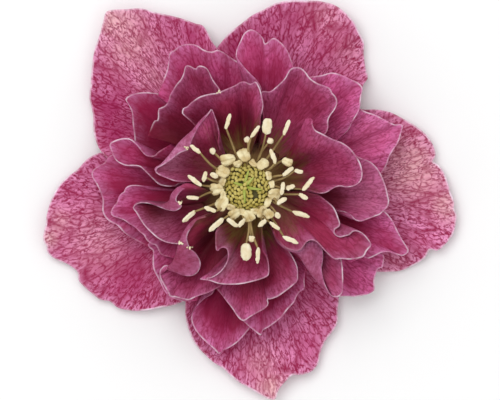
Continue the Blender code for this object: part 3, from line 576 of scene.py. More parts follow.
SEPALS = {
    "sepal_left": dict(
        rim=[(-24, 4.2), (-25.4, 8.1), (-27.3, 7.9), (-28.7, 7), (-30.3, 5.3), (-32.6, 3.5), (-33.8, 2.1), (-34.9, 0),
             (-35.6, -2.3), (-35.9, -4.4), (-36.3, -7), (-35.7, -8.1), (-35.6, -9.1), (-33.8, -10.5), (-32, -11.2),
             (-30.3, -12.6), (-30.1, -14), (-29.4, -14.9), (-27.8, -16.3), (-26.4, -17.4), (-24.7, -17.7),
             (-23.3, -18.8), (-21.2, -19.3), (-18.5, -19.3), (-15.9, -18.8), (-13.8, -18.4), (-11.9, -17.6),
             (-9.6, -14.6)],
        edge=(2.2, 1.7, 2.6, 1.2, 2.0, 2.4), wave=(0.35, 3.5),
        patches=[(-27.3, -7, 5.6, 0.35), (-33.5, -3.9, 2.5, 0.5), (-35.6, -6.7, 1.8, 0.9),
                 (-21.2, -15.8, 6.1, -0.7), (-30.8, 2.6, 5.3, -0.25)]),
    "sepal_bottom": dict(
        rim=[(-11, -13.7), (-11.3, -17.6), (-11.3, -20.7), (-10.6, -23.2), (-9.7, -25.1), (-8, -27), (-6.2, -28.6),
             (-5, -29.3), (-2.7, -31.4), (-0.1, -33), (2, -34.2), (3.4, -34.9), (4.3, -34.9), (4.8, -33.4),
             (6.1, -31.8), (7.3, -30.7), (9, -30.6), (10.8, -29.9), (11.9, -28.4), (12.2, -26.7), (13.1, -24.6),
             (14.5, -22.8), (15.2, -21.4), (15.2, -19.3), (15.4, -16.9), (14.7, -13.7)],
        edge=(2.0, 1.5, 2.2, 2.8, 1.6, 2.2), sag=3.3,
        patches=[(3.8, -33.7, 3.2, 0.9), (2, -29, 3.2, 0.4), (-6.2, -21.1, 5.3, -0.5), (13.1, -22.8, 5.3, -0.2)]),
    "sepal_right": dict(
        rim=[(17.8, 16.5), (19.8, 15.8), (21.9, 15.8), (24.5, 15.3), (27.1, 14), (29.4, 12.6), (31.2, 10.9),
             (32, 9.5), (32.4, 7.9), (31.9, 6.8), (32.9, 6.1), (33.8, 4.9), (34.5, 3.2), (35, 1.4), (35.7, -0.5),
             (35.6, -1.4), (36.1, -2.6), (35.9, -4.4), (35.4, -6.1), (34.2, -7.6), (32.8, -8.8), (31.5, -8.6),
             (30.6, -10), (28.9, -11.2), (26.3, -12.3), (24.5, -12.5), (22.4, -12.5), (18.9, -12.3)],
        edge=(2.0, 2.6, 1.6, 2.4, 1.5, 2.0), wave=(0.3, 4.5),
        patches=[(28.9, 5.6, 6, 0.75), (34.7, -0.9, 3.2, 0.8), (33.3, 5.3, 5.3, 0.5), (26.0, -11.2, 3.9, 0.22),
                 (26.3, 13.2, 4.4, -0.3)]),
    "sepal_upper_right": dict(
        rim=[(-6.8, 23.5), (-5.9, 26.5), (-5, 27.7), (-3.6, 29.3), (-1.8, 30.7), (0.3, 32.3), (2.5, 33.4),
             (4.3, 34.4), (6.9, 34.9), (9.6, 34.9), (12.2, 34.8), (14.8, 34.1), (16.6, 32.8), (18, 31.3),
             (18.9, 29.5), (19.8, 27.7), (19.8, 25.5), (20.1, 23.2), (20.5, 21.4), (19.8, 20.4), (19.4, 19),
             (17.5, 16.2)],
        edge=(2.4, 1.6, 2.8, 3.2, 2.0, 2.4), claw=5.0, sag=3.6, wave=(0.4, 3.5), tint=0.5,
        patches=[(14, 33, 4.4, 0.3), (-1.8, 27.2, 5.3, -0.35), (17.5, 26.3, 3.5, 0.25)]),
    "sepal_upper_left": dict(
        rim=[(-22.6, 4.9), (-25.6, 7.9), (-26.8, 9.7), (-27.5, 12.3), (-27.5, 14.4), (-27.8, 16.2), (-28.2, 17.9),
             (-28, 20.2), (-27.8, 22.8), (-27.3, 26.3), (-26.4, 29), (-25.7, 31.6), (-25.2, 33), (-22, 33.4),
             (-18.9, 33.5), (-17.3, 33), (-14.1, 32.3), (-11.5, 31.6), (-9.7, 30.9), (-8.5, 30.6), (-7.5, 29.2),
             (-6.6, 27.4), (-5.9, 26.5), (-5, 24.6), (-4.7, 22.1)],
        edge=(3.4, 2.0, 2.2, 3.0, 1.8, 2.6), claw=5.4, sag=4.2, tint=0.68,
        patches=[(-25, 32.3, 4.6, 0.9), (-21.2, 27.2, 4.6, 0.6), (-17.6, 21.9, 3.2, 0.35), (-25.5, 14, 6.7, -0.75),
                 (-9.7, 29.9, 4.9, -0.4), (-22.9, 31.3, 4.5, 0.7)]),
}

pile = Pile()
grow_whorl(SEPALS, dict(claw=4.6, claw_width=4.4, sag=2.6, wave=(0.35, 4), tint=0.62), SEPAL_ROOM, thickness=0.5,
           rim_thickness=0.26, finish=sepal_skin, resting=RESTING)

# ---- The outer petals
# Soft narrow-footed petals, lobed, pointed and gently ruffled, that lie on the sepals. They are pinker and plainer
# than the sepals, with a faint net and a thin pale rim, partly their own paler edge and partly a painted highlight,
# and each is held by its own claw on the receptacle.

PETAL_ROOM = 0.6

outer_skin = petal_skin("outer_petal_skin", pale=(0.75, 0.128, 0.36), deep=(0.32, 0.018, 0.075),
                        heart=(0.19, 0.007, 0.022), net_tone=(0.28, 0.007, 0.05), net=0.62, streak=0.3, dash=0.55,
                        freckle=0.4, rim_tone=(0.64, 0.25, 0.49), rim_zone=(0.2, 3.0, 0.55), patch=(0.78, 0.30, 0.52),
                        heart_reach=(8.0, 19.0), cell=(1.1, 1.8), depth=0.45, back_shade=0.5)

# Patches below -1 paint the shade of the hollows where a petal runs in under its neighbours.
OUTER_PETALS = {
    "outer_left": dict(
        rim=[(-22.6, 8.8), (-25, 7.4), (-25.6, 6.5), (-26.4, 6.1), (-27.7, 5.1), (-27.8, 4.2), (-27.1, 3),
             (-26.3, 1.4), (-25.9, 0), (-25.9, -2.1), (-25, -3.5), (-23.4, -4.4), (-22, -5.8), (-20.6, -6.7),
             (-17.6, -8.3)],
        edge=(5.5, 6.9, 5.7, 6.9, 5.5), wave=(0.6, 3), tint=0.42, patches=[(-19.1, -1.1, 3.5, -1.2)]),
    "outer_left_upper": dict(
        rim=[(-20.8, 6.7), (-20.5, 9.1), (-20.3, 10.5), (-20.6, 13.2), (-20.8, 15.5), (-21.3, 16.7), (-21.9, 17.7),
             (-21.2, 18.3), (-19.4, 18.8), (-17.6, 18.8), (-16.2, 18.6), (-13.1, 17.2)],
        edge=(7.1, 7.7, 8.7, 7.7, 7.9), wave=(0.45, 2), tint=0.2, patches=[(-17.3, 10.9, 3.9, -1.5)]),
    "outer_lower_right": dict(
        rim=[(21.3, -8.1), (23.4, -9.8), (23.3, -10.9), (23.1, -11.8), (22.4, -12), (22, -12.8), (21.7, -14),
             (21.7, -15.8), (21, -16.3), (20.1, -16.6), (18.4, -16.9), (16.6, -16.8), (15.7, -16.9), (13.6, -15.5)],
        edge=(4.9, 6.3, 4.7, 5.7, 4.7), sag=0.6, tint=0.9),
    "outer_lower_left": dict(
        rim=[(-6.1, -14), (-6.6, -16.3), (-8, -17.2), (-9.2, -18.3), (-10.1, -19.7), (-10.3, -21.1), (-9.6, -22.8),
             (-8.5, -24.2), (-7.1, -25.5), (-6.2, -26.3), (-5.5, -27), (-5, -26.5), (-3.6, -25.8), (-2.2, -24.8),
             (-1, -23.5), (-0.1, -22.3), (1, -20.2)],
        edge=(5.7, 4.9, 6.3, 4.9, 5.5), base=-97, wave=(0.5, 2.5), patches=[(-2.2, -17.2, 3.9, -1.4)]),
    "outer_top_left": dict(
        rim=[(-16.2, 18.3), (-15.4, 20.7), (-14.5, 23.2), (-14.3, 24.6), (-14.1, 25.8), (-13.3, 26.3), (-12.4, 27),
             (-11.2, 27.3), (-10.1, 27.3), (-9.2, 27), (-8.5, 26.5), (-7.6, 26.1), (-6.6, 26), (-5.9, 26.3), (-5, 26),
             (-4, 25.3), (-2.9, 24.6), (-2.2, 24.2), (0.3, 21.4)],
        edge=(6.5, 8.3, 7.3, 8.1, 6.5), claw=6.4, sag=1.0, wave=(0.6, 3.5), tint=0.5),
    "outer_right": dict(
        rim=[(16.4, 14), (18.2, 15.8), (19.1, 16), (20.1, 15.5), (21.9, 14.9), (23.6, 14), (25.4, 13.2), (26.6, 13.2),
             (26.4, 11.8), (25.9, 10.2), (25, 8.8), (24.3, 7.6), (23.8, 6.1), (22, 3.5)],
        edge=(6.5, 7.5, 5.7, 7.3, 6.3), claw=6.4, tint=1.15, patches=[(22, 11.4, 5, 0.25), (14.3, 6.7, 2.8, -1.3)]),
    "outer_left_lower": dict(
        rim=[(-15.9, -6.3), (-18, -7.9), (-17.6, -8.4), (-17.1, -8.8), (-17.1, -10.2), (-17.1, -11.4), (-16.9, -12.3),
             (-16.4, -13.3), (-15.9, -14.2), (-14.8, -16.3), (-12.4, -17.6), (-9.4, -17.6)],
        edge=(7.1, 8.1, 6.9, 7.5, 6.9), claw=6.8, wave=(0.45, 3), tint=0.6),
    "outer_left_lobe": dict(
        rim=[(-17.3, 1.8), (-19.4, 2.5), (-21.2, 2.5), (-21.9, 2.1), (-22.2, 1.4), (-22.7, 1.1), (-23.1, 0.5),
             (-23.4, -0.4), (-23.8, -0.9), (-24.3, -1.6), (-24.5, -2.3), (-24.1, -2.8), (-22.9, -3.2), (-22, -3.6),
             (-21.2, -4.2), (-20.3, -4.7), (-19.4, -5.6), (-18.7, -6.1), (-18.2, -7), (-17.3, -7.7), (-16.6, -7.9),
             (-16.1, -8.8), (-15.7, -9.5), (-13.1, -10.2)],
        edge=(8.1, 9.1, 7.7, 9.3, 8.5), claw=7.2, sag=1.0, tint=0.55, patches=[(-14.5, -2.8, 3.2, -1.4)]),
    "outer_left_trough": dict(
        rim=[(-13.8, 9.8), (-16.2, 8.4), (-16.8, 7.8), (-17.6, 7.7), (-18.4, 7.9), (-19.1, 8.6), (-19.8, 9.5),
             (-20.5, 10.2), (-21.2, 10.7), (-22, 10.8), (-22.9, 10.7), (-23.8, 10.4), (-24.7, 9.8), (-24.5, 9),
             (-24.1, 7.9), (-23.6, 7), (-22.9, 6.5), (-21.9, 6.1), (-20.6, 6.1), (-19.4, 5.9), (-18.7, 5.3),
             (-17.8, 4.4), (-16.9, 3.5), (-16.1, 2.8), (-15, 2.5), (-14.1, 2.4), (-13.3, 2.5), (-12.4, 3), (-11, 2.8),
             (-9.9, 1.9), (-9.6, 1.8)],
        edge=(11.1, 10.7, 9.5, 10.3, 11.1), claw=7.6, cup=1.6, wave=(0, 1), sag=1.2, tint=0.38,
        patches=[(-15.5, 4.9, 2.3, -1.4)]),
    "outer_top": dict(
        rim=[(2.4, 16.9), (2, 19), (1.7, 20), (1, 21.1), (0.1, 22), (-0.6, 22.7), (-1.3, 23.5), (-2, 24.4),
             (-2.5, 25.1), (-2.4, 26.3), (-1.8, 27.7), (-1, 29.3), (0.1, 29.9), (1.3, 29.3), (2.2, 28.3), (2.5, 27.4),
             (3.1, 27.7), (4, 28.4), (5.2, 27.7), (6.4, 26.3), (7.1, 24.6), (7.5, 23.2), (7.6, 20.4)],
        edge=(8.5, 9.5, 8.3, 9.5, 8.5), claw=7.2, base=70, wave=(0.5, 2.5), tint=0.55),
    "outer_upper_right": dict(
        rim=[(8.3, 21.1), (10.6, 21.6), (12.2, 21.8), (14.3, 22.3), (15.7, 22), (17.5, 21.2), (18.9, 20.5),
             (19.6, 19.7), (19.4, 18.4), (19.2, 16.7), (18.9, 15.5), (17.8, 13.7), (17.1, 12.3), (15, 10.5)],
        edge=(8.7, 9.5, 8.1, 9.5, 8.5), claw=7.4, tint=0.85),
    "outer_right_pointed": dict(
        rim=[(21.3, -1.1), (23.6, -2.1), (24.8, -3.5), (25.7, -5.3), (26.6, -7), (27.5, -8.4), (27.7, -9),
             (26.8, -9.7), (25.7, -9.5), (24.5, -9.1), (23.4, -9.1), (22.7, -9.3), (21.7, -9.8), (20.6, -10.2),
             (19.9, -10), (17.5, -10.9)],
        edge=(7.9, 7.9, 6.3, 8.1, 7.3), claw=7.0, tint=0.75, patches=[(16.1, -4.6, 2.8, -1.5)]),
    "outer_bottom": dict(
        rim=[(9.7, -11.6), (9.4, -14), (9.4, -15.5), (8.5, -16.2), (8, -17), (7.6, -17.9), (6.6, -19), (5.2, -20.7),
             (3.4, -22.1), (2, -23), (1.8, -23.7), (0.8, -23), (-0.3, -22.1), (-1.5, -20.9), (-3.6, -18.3)],
        edge=(7.5, 8.1, 6.5, 8.1, 7.3), claw=7.0, patches=[(3.4, -15.1, 2.8, -1.4)]),
}

grow_whorl(OUTER_PETALS, dict(claw=6.2, claw_width=2.2, sag=0.8, wave=(0.5, 3), tint=0.45), PETAL_ROOM,
           thickness=0.34, rim_thickness=0.2, finish=outer_skin)

# ---- The middle and inner petals
# Cupped raspberry petals round the throat, dark at their feet, partly by their own tone and partly by painted shade,
# and ruffled at their rims. Some margins roll or fold inward and show the paler back of the petal, with a deep hollow
# beside them, shaded by the light and by painted shade.

inner_skin = petal_skin("inner_petal_skin", pale=(0.57, 0.096, 0.255), deep=(0.31, 0.024, 0.075),
                        heart=(0.155, 0.012, 0.018), net_tone=(0.18, 0.006, 0.028), net=0.52, streak=0.34, dash=0.5,
                        freckle=0.25, rim_tone=(0.54, 0.20, 0.39), rim_zone=(0.1, 2.6, 0.55), patch=(0.66, 0.27, 0.44),
                        heart_reach=(7.0, 15.0), throat=(5.5, 10.5, (0.19, 0.115, 0.035)), cell=(1.0, 1.7), depth=0.4,
                        back_shade=0.75)

INNER_PETALS = {
    "middle_upper_left": dict(
        rim=[(-18, 11.2), (-16.8, 13.9), (-16.4, 13.9), (-16.2, 14.4), (-16.2, 15.5), (-16.1, 16), (-15.4, 16.3),
             (-14.8, 16.7), (-14.3, 17.6), (-14.1, 18.4), (-13.6, 19.3), (-12.9, 20.4), (-12.2, 21.2), (-11.7, 22.3),
             (-11.5, 23.2), (-11.3, 23.6), (-10.6, 23.5), (-10.1, 23.2), (-9.6, 23), (-9.2, 23.5), (-8.5, 23.5),
             (-7.8, 23.2), (-7.3, 22.5), (-6.9, 21.6), (-6.4, 20.7), (-5.7, 19.8), (-4.3, 17.2)],
        edge=(13.0, 13.8, 12.6, 13.0, 13.2), claw=8.0, cup=2.0, sag=1.4, wave=(0.4, 3.5),
        patches=[(-13.8, 10.5, 4.2, -1.8)]),
    "middle_right": dict(
        rim=[(17.5, 8.4), (19.2, 7.4), (21, 6.7), (22.4, 5.3), (23.3, 3.5), (23.8, 2.1), (24.1, 0.7), (24.3, -0.2),
             (24, -1.2), (23.4, -1.8), (22.7, -2.5), (21.9, -2.8), (20.6, -3.3), (19.4, -3.7), (18.5, -3.5),
             (17.6, -2.6), (16.6, -2.1), (15.4, -1.9), (13.3, -1.1)],
        edge=(11.8, 12.6, 11.4, 12.6, 11.8), claw=8.0, cup=1.4, sag=0.6, wave=(0.45, 3), tint=1.15,
        patches=[(14, 0.4, 2.6, -1.4), (21, 0.9, 4.5, 0.34)]),
    "middle_bottom": dict(
        rim=[(4.5, -6.3), (6.6, -8.8), (7.5, -10.2), (8.2, -11.8), (8.3, -13.2), (8.2, -14.2), (7.5, -14.9),
             (6.1, -16), (4.8, -16.9), (3.4, -17.4), (2.9, -17.4), (3.1, -18.3), (2.5, -19), (1.1, -19.8),
             (-0.1, -20.5), (-1.3, -21.2), (-2.2, -20.5), (-3.2, -19), (-4.3, -17.6), (-4.8, -16.9), (-7.5, -13.7)],
        edge=(12.0, 12.6, 11.0, 12.2, 11.8), claw=8.2, cup=1.4, sag=0.6, wave=(0.4, 3), tint=0.45,
        patches=[(2, -13.3, 2.3, -1.3)]),
    "inner_upper_right": dict(
        rim=[(2.4, 13.7), (2, 19), (3.4, 19), (4.5, 19.8), (6.1, 21.4), (6.9, 22.8), (7.5, 23.2), (8.7, 23.2),
             (9.6, 22.5), (10.4, 21.4), (11.9, 20.4), (13.1, 20), (14, 19.5), (14.3, 18.8), (14.8, 18.3),
             (15.2, 17.2), (14.8, 16), (14, 14.9), (13.6, 14), (13.6, 12.8), (13.3, 11.9), (11.5, 10.2)],
        edge=(14.6, 15.4, 14.6, 15.6, 14.8), claw=8.6, cup=1.8, sag=1.2, wave=(0.35, 3.5), tint=0.75),
    "inner_upper_left": dict(
        rim=[(-8.9, 12.3), (-10.6, 14), (-11.3, 14.6), (-12, 15.3), (-11.9, 15.8), (-11.7, 16.2), (-11.2, 16.3),
             (-10.6, 16.9), (-9.7, 17.6), (-8.9, 18.1), (-7.1, 18.6), (-5.7, 18.8), (-5, 19.1), (-3.6, 19.7),
             (-2.5, 20.2), (-1.7, 20.7), (-0.8, 20.7), (-0.3, 20.4), (0.3, 20.4), (0.6, 20.7), (1, 20.7), (1.3, 20.2),
             (1.7, 19.3), (2, 17.9), (2.2, 16.7), (2, 15.5), (1.7, 14.4), (1.7, 13.5), (1.3, 11.9)],
        edge=(15.8, 16.8, 16.2, 16.8, 16.2), claw=8.8, cup=2.0, sag=1.4, wave=(0.35, 3), tint=0.55,
        patches=[(-3.6, 11.6, 3.5, -1.6), (-12, 12.6, 2.3, -1.4)]),
    "inner_lower_right": dict(
        rim=[(4, -5.4), (4.5, -6.7), (5.2, -7.6), (6.2, -8.4), (7.3, -8.8), (8.5, -9), (9.2, -8.4), (9.7, -7.6),
             (10.4, -7.3), (10.8, -7), (11.5, -7.2), (12, -7.7), (12.6, -8.8), (12.7, -9.8), (12.6, -10.9),
             (12.4, -11.9), (12.6, -13.2), (12.9, -14.4), (13.4, -15.6), (14.1, -16.7), (14.8, -17), (15.5, -16.9),
             (16.1, -16.2), (16.2, -14.9), (16.2, -13.2), (16.1, -11.6), (15.7, -9.8), (14, -7.4), (11.5, -5.6)],
        crest=[(4, -5.6), (4.5, -7), (5.2, -7.9), (6.1, -8.6), (6.9, -9), (7.8, -9.1), (8.3, -9.5), (8.7, -10),
               (9.2, -10.7), (9.6, -11.4), (9.9, -11.9), (10.3, -12.5), (10.6, -13), (11, -13.5), (11.3, -14),
               (11.9, -14.6), (12.4, -15.1), (12.9, -15.6), (13.6, -16.3), (14.3, -16.9), (14.8, -17.1)],
        edge=(14.4, 14.6, 13.0, 13.6, 14.0), claw=8.8, base=-40, cup=1.4, open=0.5,
        patches=[(9.6, -11.9, 3.2, 0.45), (8.2, -9.6, 2.4, 0.4)]),
    "middle_lower_right": dict(
        rim=[(9.7, 1.6), (10.4, 1.2), (11.9, 0.9), (12.6, 0.4), (13.6, -0.4), (14.5, -1.2), (15, -2.1), (15.4, -3.2),
             (15.7, -4.2), (15.5, -4.7), (14.8, -5.1), (14.7, -5.4), (14.8, -6), (15.7, -6.5), (16.6, -6.3),
             (17.5, -6), (17.8, -5.6), (18.5, -5.4), (19.6, -5.8), (20.5, -6.7), (21.2, -7.9), (20.8, -8.4),
             (20.3, -9), (19.9, -9.8), (18.9, -10.2), (17.5, -10.4), (15.7, -10.3), (15, -10.4), (14.5, -10.2),
             (13.4, -9.2), (12.4, -8.1), (11.6, -7.3), (10.8, -7), (9.9, -7.3), (9.4, -7.9), (8.9, -8.6), (8.2, -8.9),
             (7.1, -8.7), (6.1, -8.3), (5.3, -7.5), (4.6, -6.5), (4.1, -5.4)],
        edge=(13.8, 14.8, 13.6, 13.4, 13.8), claw=9.0, base=-20, cup=1.8, sag=1.0, wave=(0.4, 3), tint=0.38,
        open=0.45),
    "inner_right": dict(
        rim=[(9.7, 14.2), (10.8, 14.2), (10.8, 13.5), (11.3, 12.3), (12.6, 11.6), (14.3, 10.7), (16.1, 10), (17.5, 9),
             (18.5, 7.7), (19.2, 6.5), (19.6, 4.9), (19.4, 3.5), (18.4, 2.6), (16.9, 2.3), (15.7, 2.5), (14.5, 2.1),
             (13.4, 1.4), (12.2, 1.2), (10.4, 1.8), (8.7, 2.1)],
        edge=(17.0, 17.6, 16.6, 17.2, 16.6), cup=2.0, sag=1.2, wave=(0.35, 3), tint=0.8,
        patches=[(5.9, 7.7, 2.8, -1.3)]),
    "inner_left_folded": dict(
        rim=[(-9.2, 3.3), (-10.6, 3.3), (-12, 3.3), (-13.3, 3.4), (-14.7, 3.9), (-15.9, 4.4), (-16.6, 4.9),
             (-16.4, 5.6), (-15.5, 6.1), (-14.1, 7), (-12.4, 8.3), (-11.2, 8.8), (-10.6, 9.5), (-10.4, 10.4),
             (-9.9, 11.4), (-9.2, 12.8), (-8.3, 14), (-7.1, 15.6), (-6.9, 16), (-6.2, 14.4), (-5.7, 12.8),
             (-5.5, 11.4), (-5.7, 10.2), (-5.4, 8.8)],
        crest=[(-9.2, 3.2), (-10.6, 3.2), (-12, 3.2), (-13.3, 3.3), (-14.7, 3.9), (-15.9, 4.4), (-16.9, 5.3),
               (-16.9, 5.6), (-15.9, 6), (-14.8, 7.2), (-13.6, 8.8), (-12.6, 10.2), (-11.5, 11.2), (-10.4, 12.1),
               (-9.7, 12.8), (-8.9, 13.9), (-7.8, 14.9), (-6.9, 15.8), (-6.8, 16)],
        edge=(16.6, 17.4, 17.8, 17.4, 15.2), cup=1.6, claw_width=3.0, open=0.6,
        patches=[(-14.1, 7.0, 2.6, 0.75), (-12.3, 9.6, 2.2, 0.6)]),
    "inner_left": dict(
        rim=[(-9.6, 1.9), (-10.6, 2.3), (-11.7, 1.9), (-12.4, 1.4), (-12.9, 0.7), (-13.1, 0.2), (-12.9, -0.4),
             (-12.4, -0.5), (-12.1, -1.1), (-12.6, -1.6), (-13.3, -1.9), (-14.1, -1.8), (-15, -1.6), (-16.2, -1.1),
             (-17.3, -0.7), (-18.4, -0.5), (-19.4, -0.5), (-20.3, -0.9), (-20.6, -1.4), (-20.1, -2.1), (-19.4, -3.3),
             (-18.5, -4.6), (-17.3, -5.8), (-16.2, -6.7), (-15, -7.3), (-13.8, -7.6), (-12.7, -7.7), (-11.7, -7.6),
             (-11.7, -6.1), (-11.2, -4.9), (-9.7, -3.5)],
        crest=[(-9.5, 2.5), (-10.6, 2.9), (-11.7, 2.9), (-12.6, 2.5), (-13.4, 1.8), (-13.9, 1.1), (-14.2, 0.6),
               (-14.2, 0.3), (-14.3, -0.1), (-14.7, -0.4), (-15.2, -0.7), (-15.8, -0.7), (-16.5, -0.6), (-17.5, -0.3),
               (-18.4, -0.2), (-19.2, -0.2), (-19.9, -0.4), (-20.5, -0.9)],
        edge=(16.4, 17.4, 15.0, 14.6, 15.2, 15.8), base=-152, cup=1.8, open=0.4,
        patches=[(-16.8, -1.6, 2.1, -1.7), (-15.9, -4.4, 3, 0.35)]),
    "inner_lower_left": dict(
        rim=[(-7.8, -3), (-9.4, -3.5), (-10.1, -4.4), (-10.6, -5.1), (-11, -5.8), (-11.2, -6.7), (-11, -7.6),
             (-10.6, -8.6), (-9.9, -9.1), (-9.4, -9.7), (-9, -10.4), (-8.8, -11.2), (-8.9, -11.9), (-9.2, -12.5),
             (-9.7, -13), (-10.6, -13.3), (-12, -13.1), (-12.6, -12.5), (-13.3, -11.9), (-14.1, -11.6), (-15, -11.5),
             (-15.5, -11.9), (-15.9, -12.5), (-15.9, -13.2), (-15.7, -14), (-15.2, -14.9), (-14.7, -15.8),
             (-14.3, -16.5), (-14.1, -16.9), (-13.3, -17), (-11.7, -17.4), (-10.8, -17.5), (-9.7, -17), (-8.9, -16.7),
             (-7.6, -16.3), (-6.6, -15.8), (-5.7, -15.3), (-5.2, -14.9), (-3.6, -13.3)],
        crest=[(-8.2, -2.8), (-9.7, -3.3), (-10.6, -4), (-11.3, -4.9), (-11.9, -5.8), (-12.2, -6.7), (-12.6, -7.6),
               (-12.9, -8.3), (-13.1, -9), (-13.3, -9.5), (-13.4, -10), (-13.6, -10.5), (-13.8, -10.9), (-14, -11.2),
               (-14.1, -11.6), (-14.5, -11.8), (-14.7, -11.9), (-14.8, -12.1), (-15, -12.3), (-15.2, -12.5),
               (-15.4, -12.6), (-15.5, -12.8), (-15.7, -13), (-15.9, -13.3)],
        edge=(16.6, 17.4, 15.8, 14.6, 13.8, 13.8), cup=2.2, sag=1.0, tint=0.5, open=0.4,
        patches=[(-6.8, -8.4, 3.3, -1.7), (-7.5, -7, 2.6, -1.8)]),
    "inner_bottom": dict(
        rim=[(-5.5, -4.7), (-6.1, -5.6), (-6.1, -6.3), (-6.1, -7.9), (-5.9, -9), (-5.5, -8.6), (-5, -8.3),
             (-4.6, -8.3), (-4.1, -8.6), (-3.9, -9.5), (-4, -10.5), (-4.5, -11.6), (-5.2, -12.5), (-6.1, -13.2),
             (-7.1, -13.7), (-8.9, -13.9), (-7.3, -14.1), (-6.4, -14.4), (-5.4, -14.7), (-2.7, -14.8), (-1, -14.6),
             (1.7, -13.9), (2.7, -13.5), (3.1, -13.2), (3.2, -11.9), (2.9, -10.2), (2, -8.8)],
        edge=(16.6, 17.6, 16.2, 15.2, 15.6), base=-75, cup=1.8, fold=2.2, late=3.5, tint=0.55,
        patches=[(-2.4, -5.0, 2.4, -1.3), (-5.6, -5.6, 1.2, 0.7), (-5.1, -7, 1.2, 0.7), (-4, -8.4, 1.3, 0.7),
                 (-3.4, -9.9, 1.3, 0.7), (-3.8, -11.4, 1.3, 0.6), (-5, -12.8, 1.3, 0.5)]),
}

grow_whorl(INNER_PETALS, dict(claw=9.2, claw_width=2.2, sag=0.8, tint=0.6), PETAL_ROOM, thickness=0.34,
           rim_thickness=0.18, finish=inner_skin)

# ---- The receptacle and the stub of stalk
# The fleshy green cone that every sepal, petal and stamen grows from, and under it the short round end of the flower
# stalk, cut across. They grew as one. Hidden by the petals except from below.

STALK_RINGS = [(0.0, 0.75), (0.9, 0.62), (1.4, 0.6), (1.52, 0.75), (1.5, 1.4), (1.46, 2.2), (1.6, 2.8), (2.1, 3.3),
               (2.8, 3.8), (3.35, 4.4), (3.6, 5.3), (3.62, 8.0), (3.6, 11.0), (3.55, 13.2), (3.2, 13.9), (0.0, 14.1)]


def ringed_mesh(name, rings):
    """A closed mesh over rings of as many points each, in metres. A ring of one point closes an end."""
    faces, base = [], 0
    for lower, upper in zip(rings, rings[1:]):
        over = base + len(lower)
        sides = max(len(lower), len(upper))
        for k in range(sides):
            n = (k + 1) % sides
            faces.append(([base + k, base + n] if len(lower) > 1 else [base])
                         + ([over + n, over + k] if len(upper) > 1 else [over]))
        base = over
    return closed_mesh(name, [tuple(point) for ring in rings for point in ring], faces)


def turned(name, rings, sides, flute=0.0, ribs=11):
    """A solid turned round the bloom's axis, with faint ribs round it. Rings are pairs of radius and height."""
    turns = 2 * math.pi * np.arange(sides) / sides
    rows = []
    for radius, height in rings:
        reach = radius * (1 + flute * np.sin(5 * turns + height) + flute * 0.5 * np.sin(ribs * turns))
        ring = np.column_stack([AXIS + reach[:, None] * np.column_stack([np.cos(turns), np.sin(turns)]),
                                np.full(sides, height)])
        rows.append((ring if radius else ring[:1]) * MM)
    return new_object(name, ringed_mesh(name, rows))


def fleshy_finish(name, tone, other, scale, roughness, bump_depth, stretch=(1, 1, 1), outward=None):
    """A living surface of two tones that run into each other, with a fine uneven grain.

    Outward is a third tone, and the distances from the axis between which the colour turns to it.
    """
    material, tree, shader = bare_finish(name)
    place = wire(tree, "TexCoord", output="Object")
    large = noise(wire(tree, "Mapping", {"Vector": place, "Scale": stretch}), scale)
    fine = noise(place, scale * 6)
    colour = blend(fade(large, 0.35, 0.65), tone, other)
    if outward:
        colour = blend(fade(from_axis(place), outward[1], outward[2]), colour, outward[0])
    fill(shader, {"Base Color": colour, "Roughness": roughness + (fine - 0.5) * 0.3, "Specular IOR Level": 0.3,
                  "Normal": wire(tree, "Bump", {"Height": fine, "Strength": 0.6, "Distance": bump_depth})})
    return material


stalk = turned("receptacle_and_stalk", STALK_RINGS, 60, flute=0.02)
stalk.data.materials.append(fleshy_finish("stalk_green", (0.30, 0.36, 0.12), (0.36, 0.22, 0.12), 500.0, 0.5, 0.0001,
                                          stretch=(1, 1, 0.25)))
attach(stalk, "root")
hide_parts("pedicel_receptacle")

# ---- The stamens
# Thin olive threads that rise from under the cushion and lean out over the petals, each with one cream anther of two
# lobes at its end. The opened ones are narrow and powdered with pollen. The next to open lie round the cushion, wide
# and flat. Each entry: direction from the axis, reach of the anther's middle, its turn, length and width.

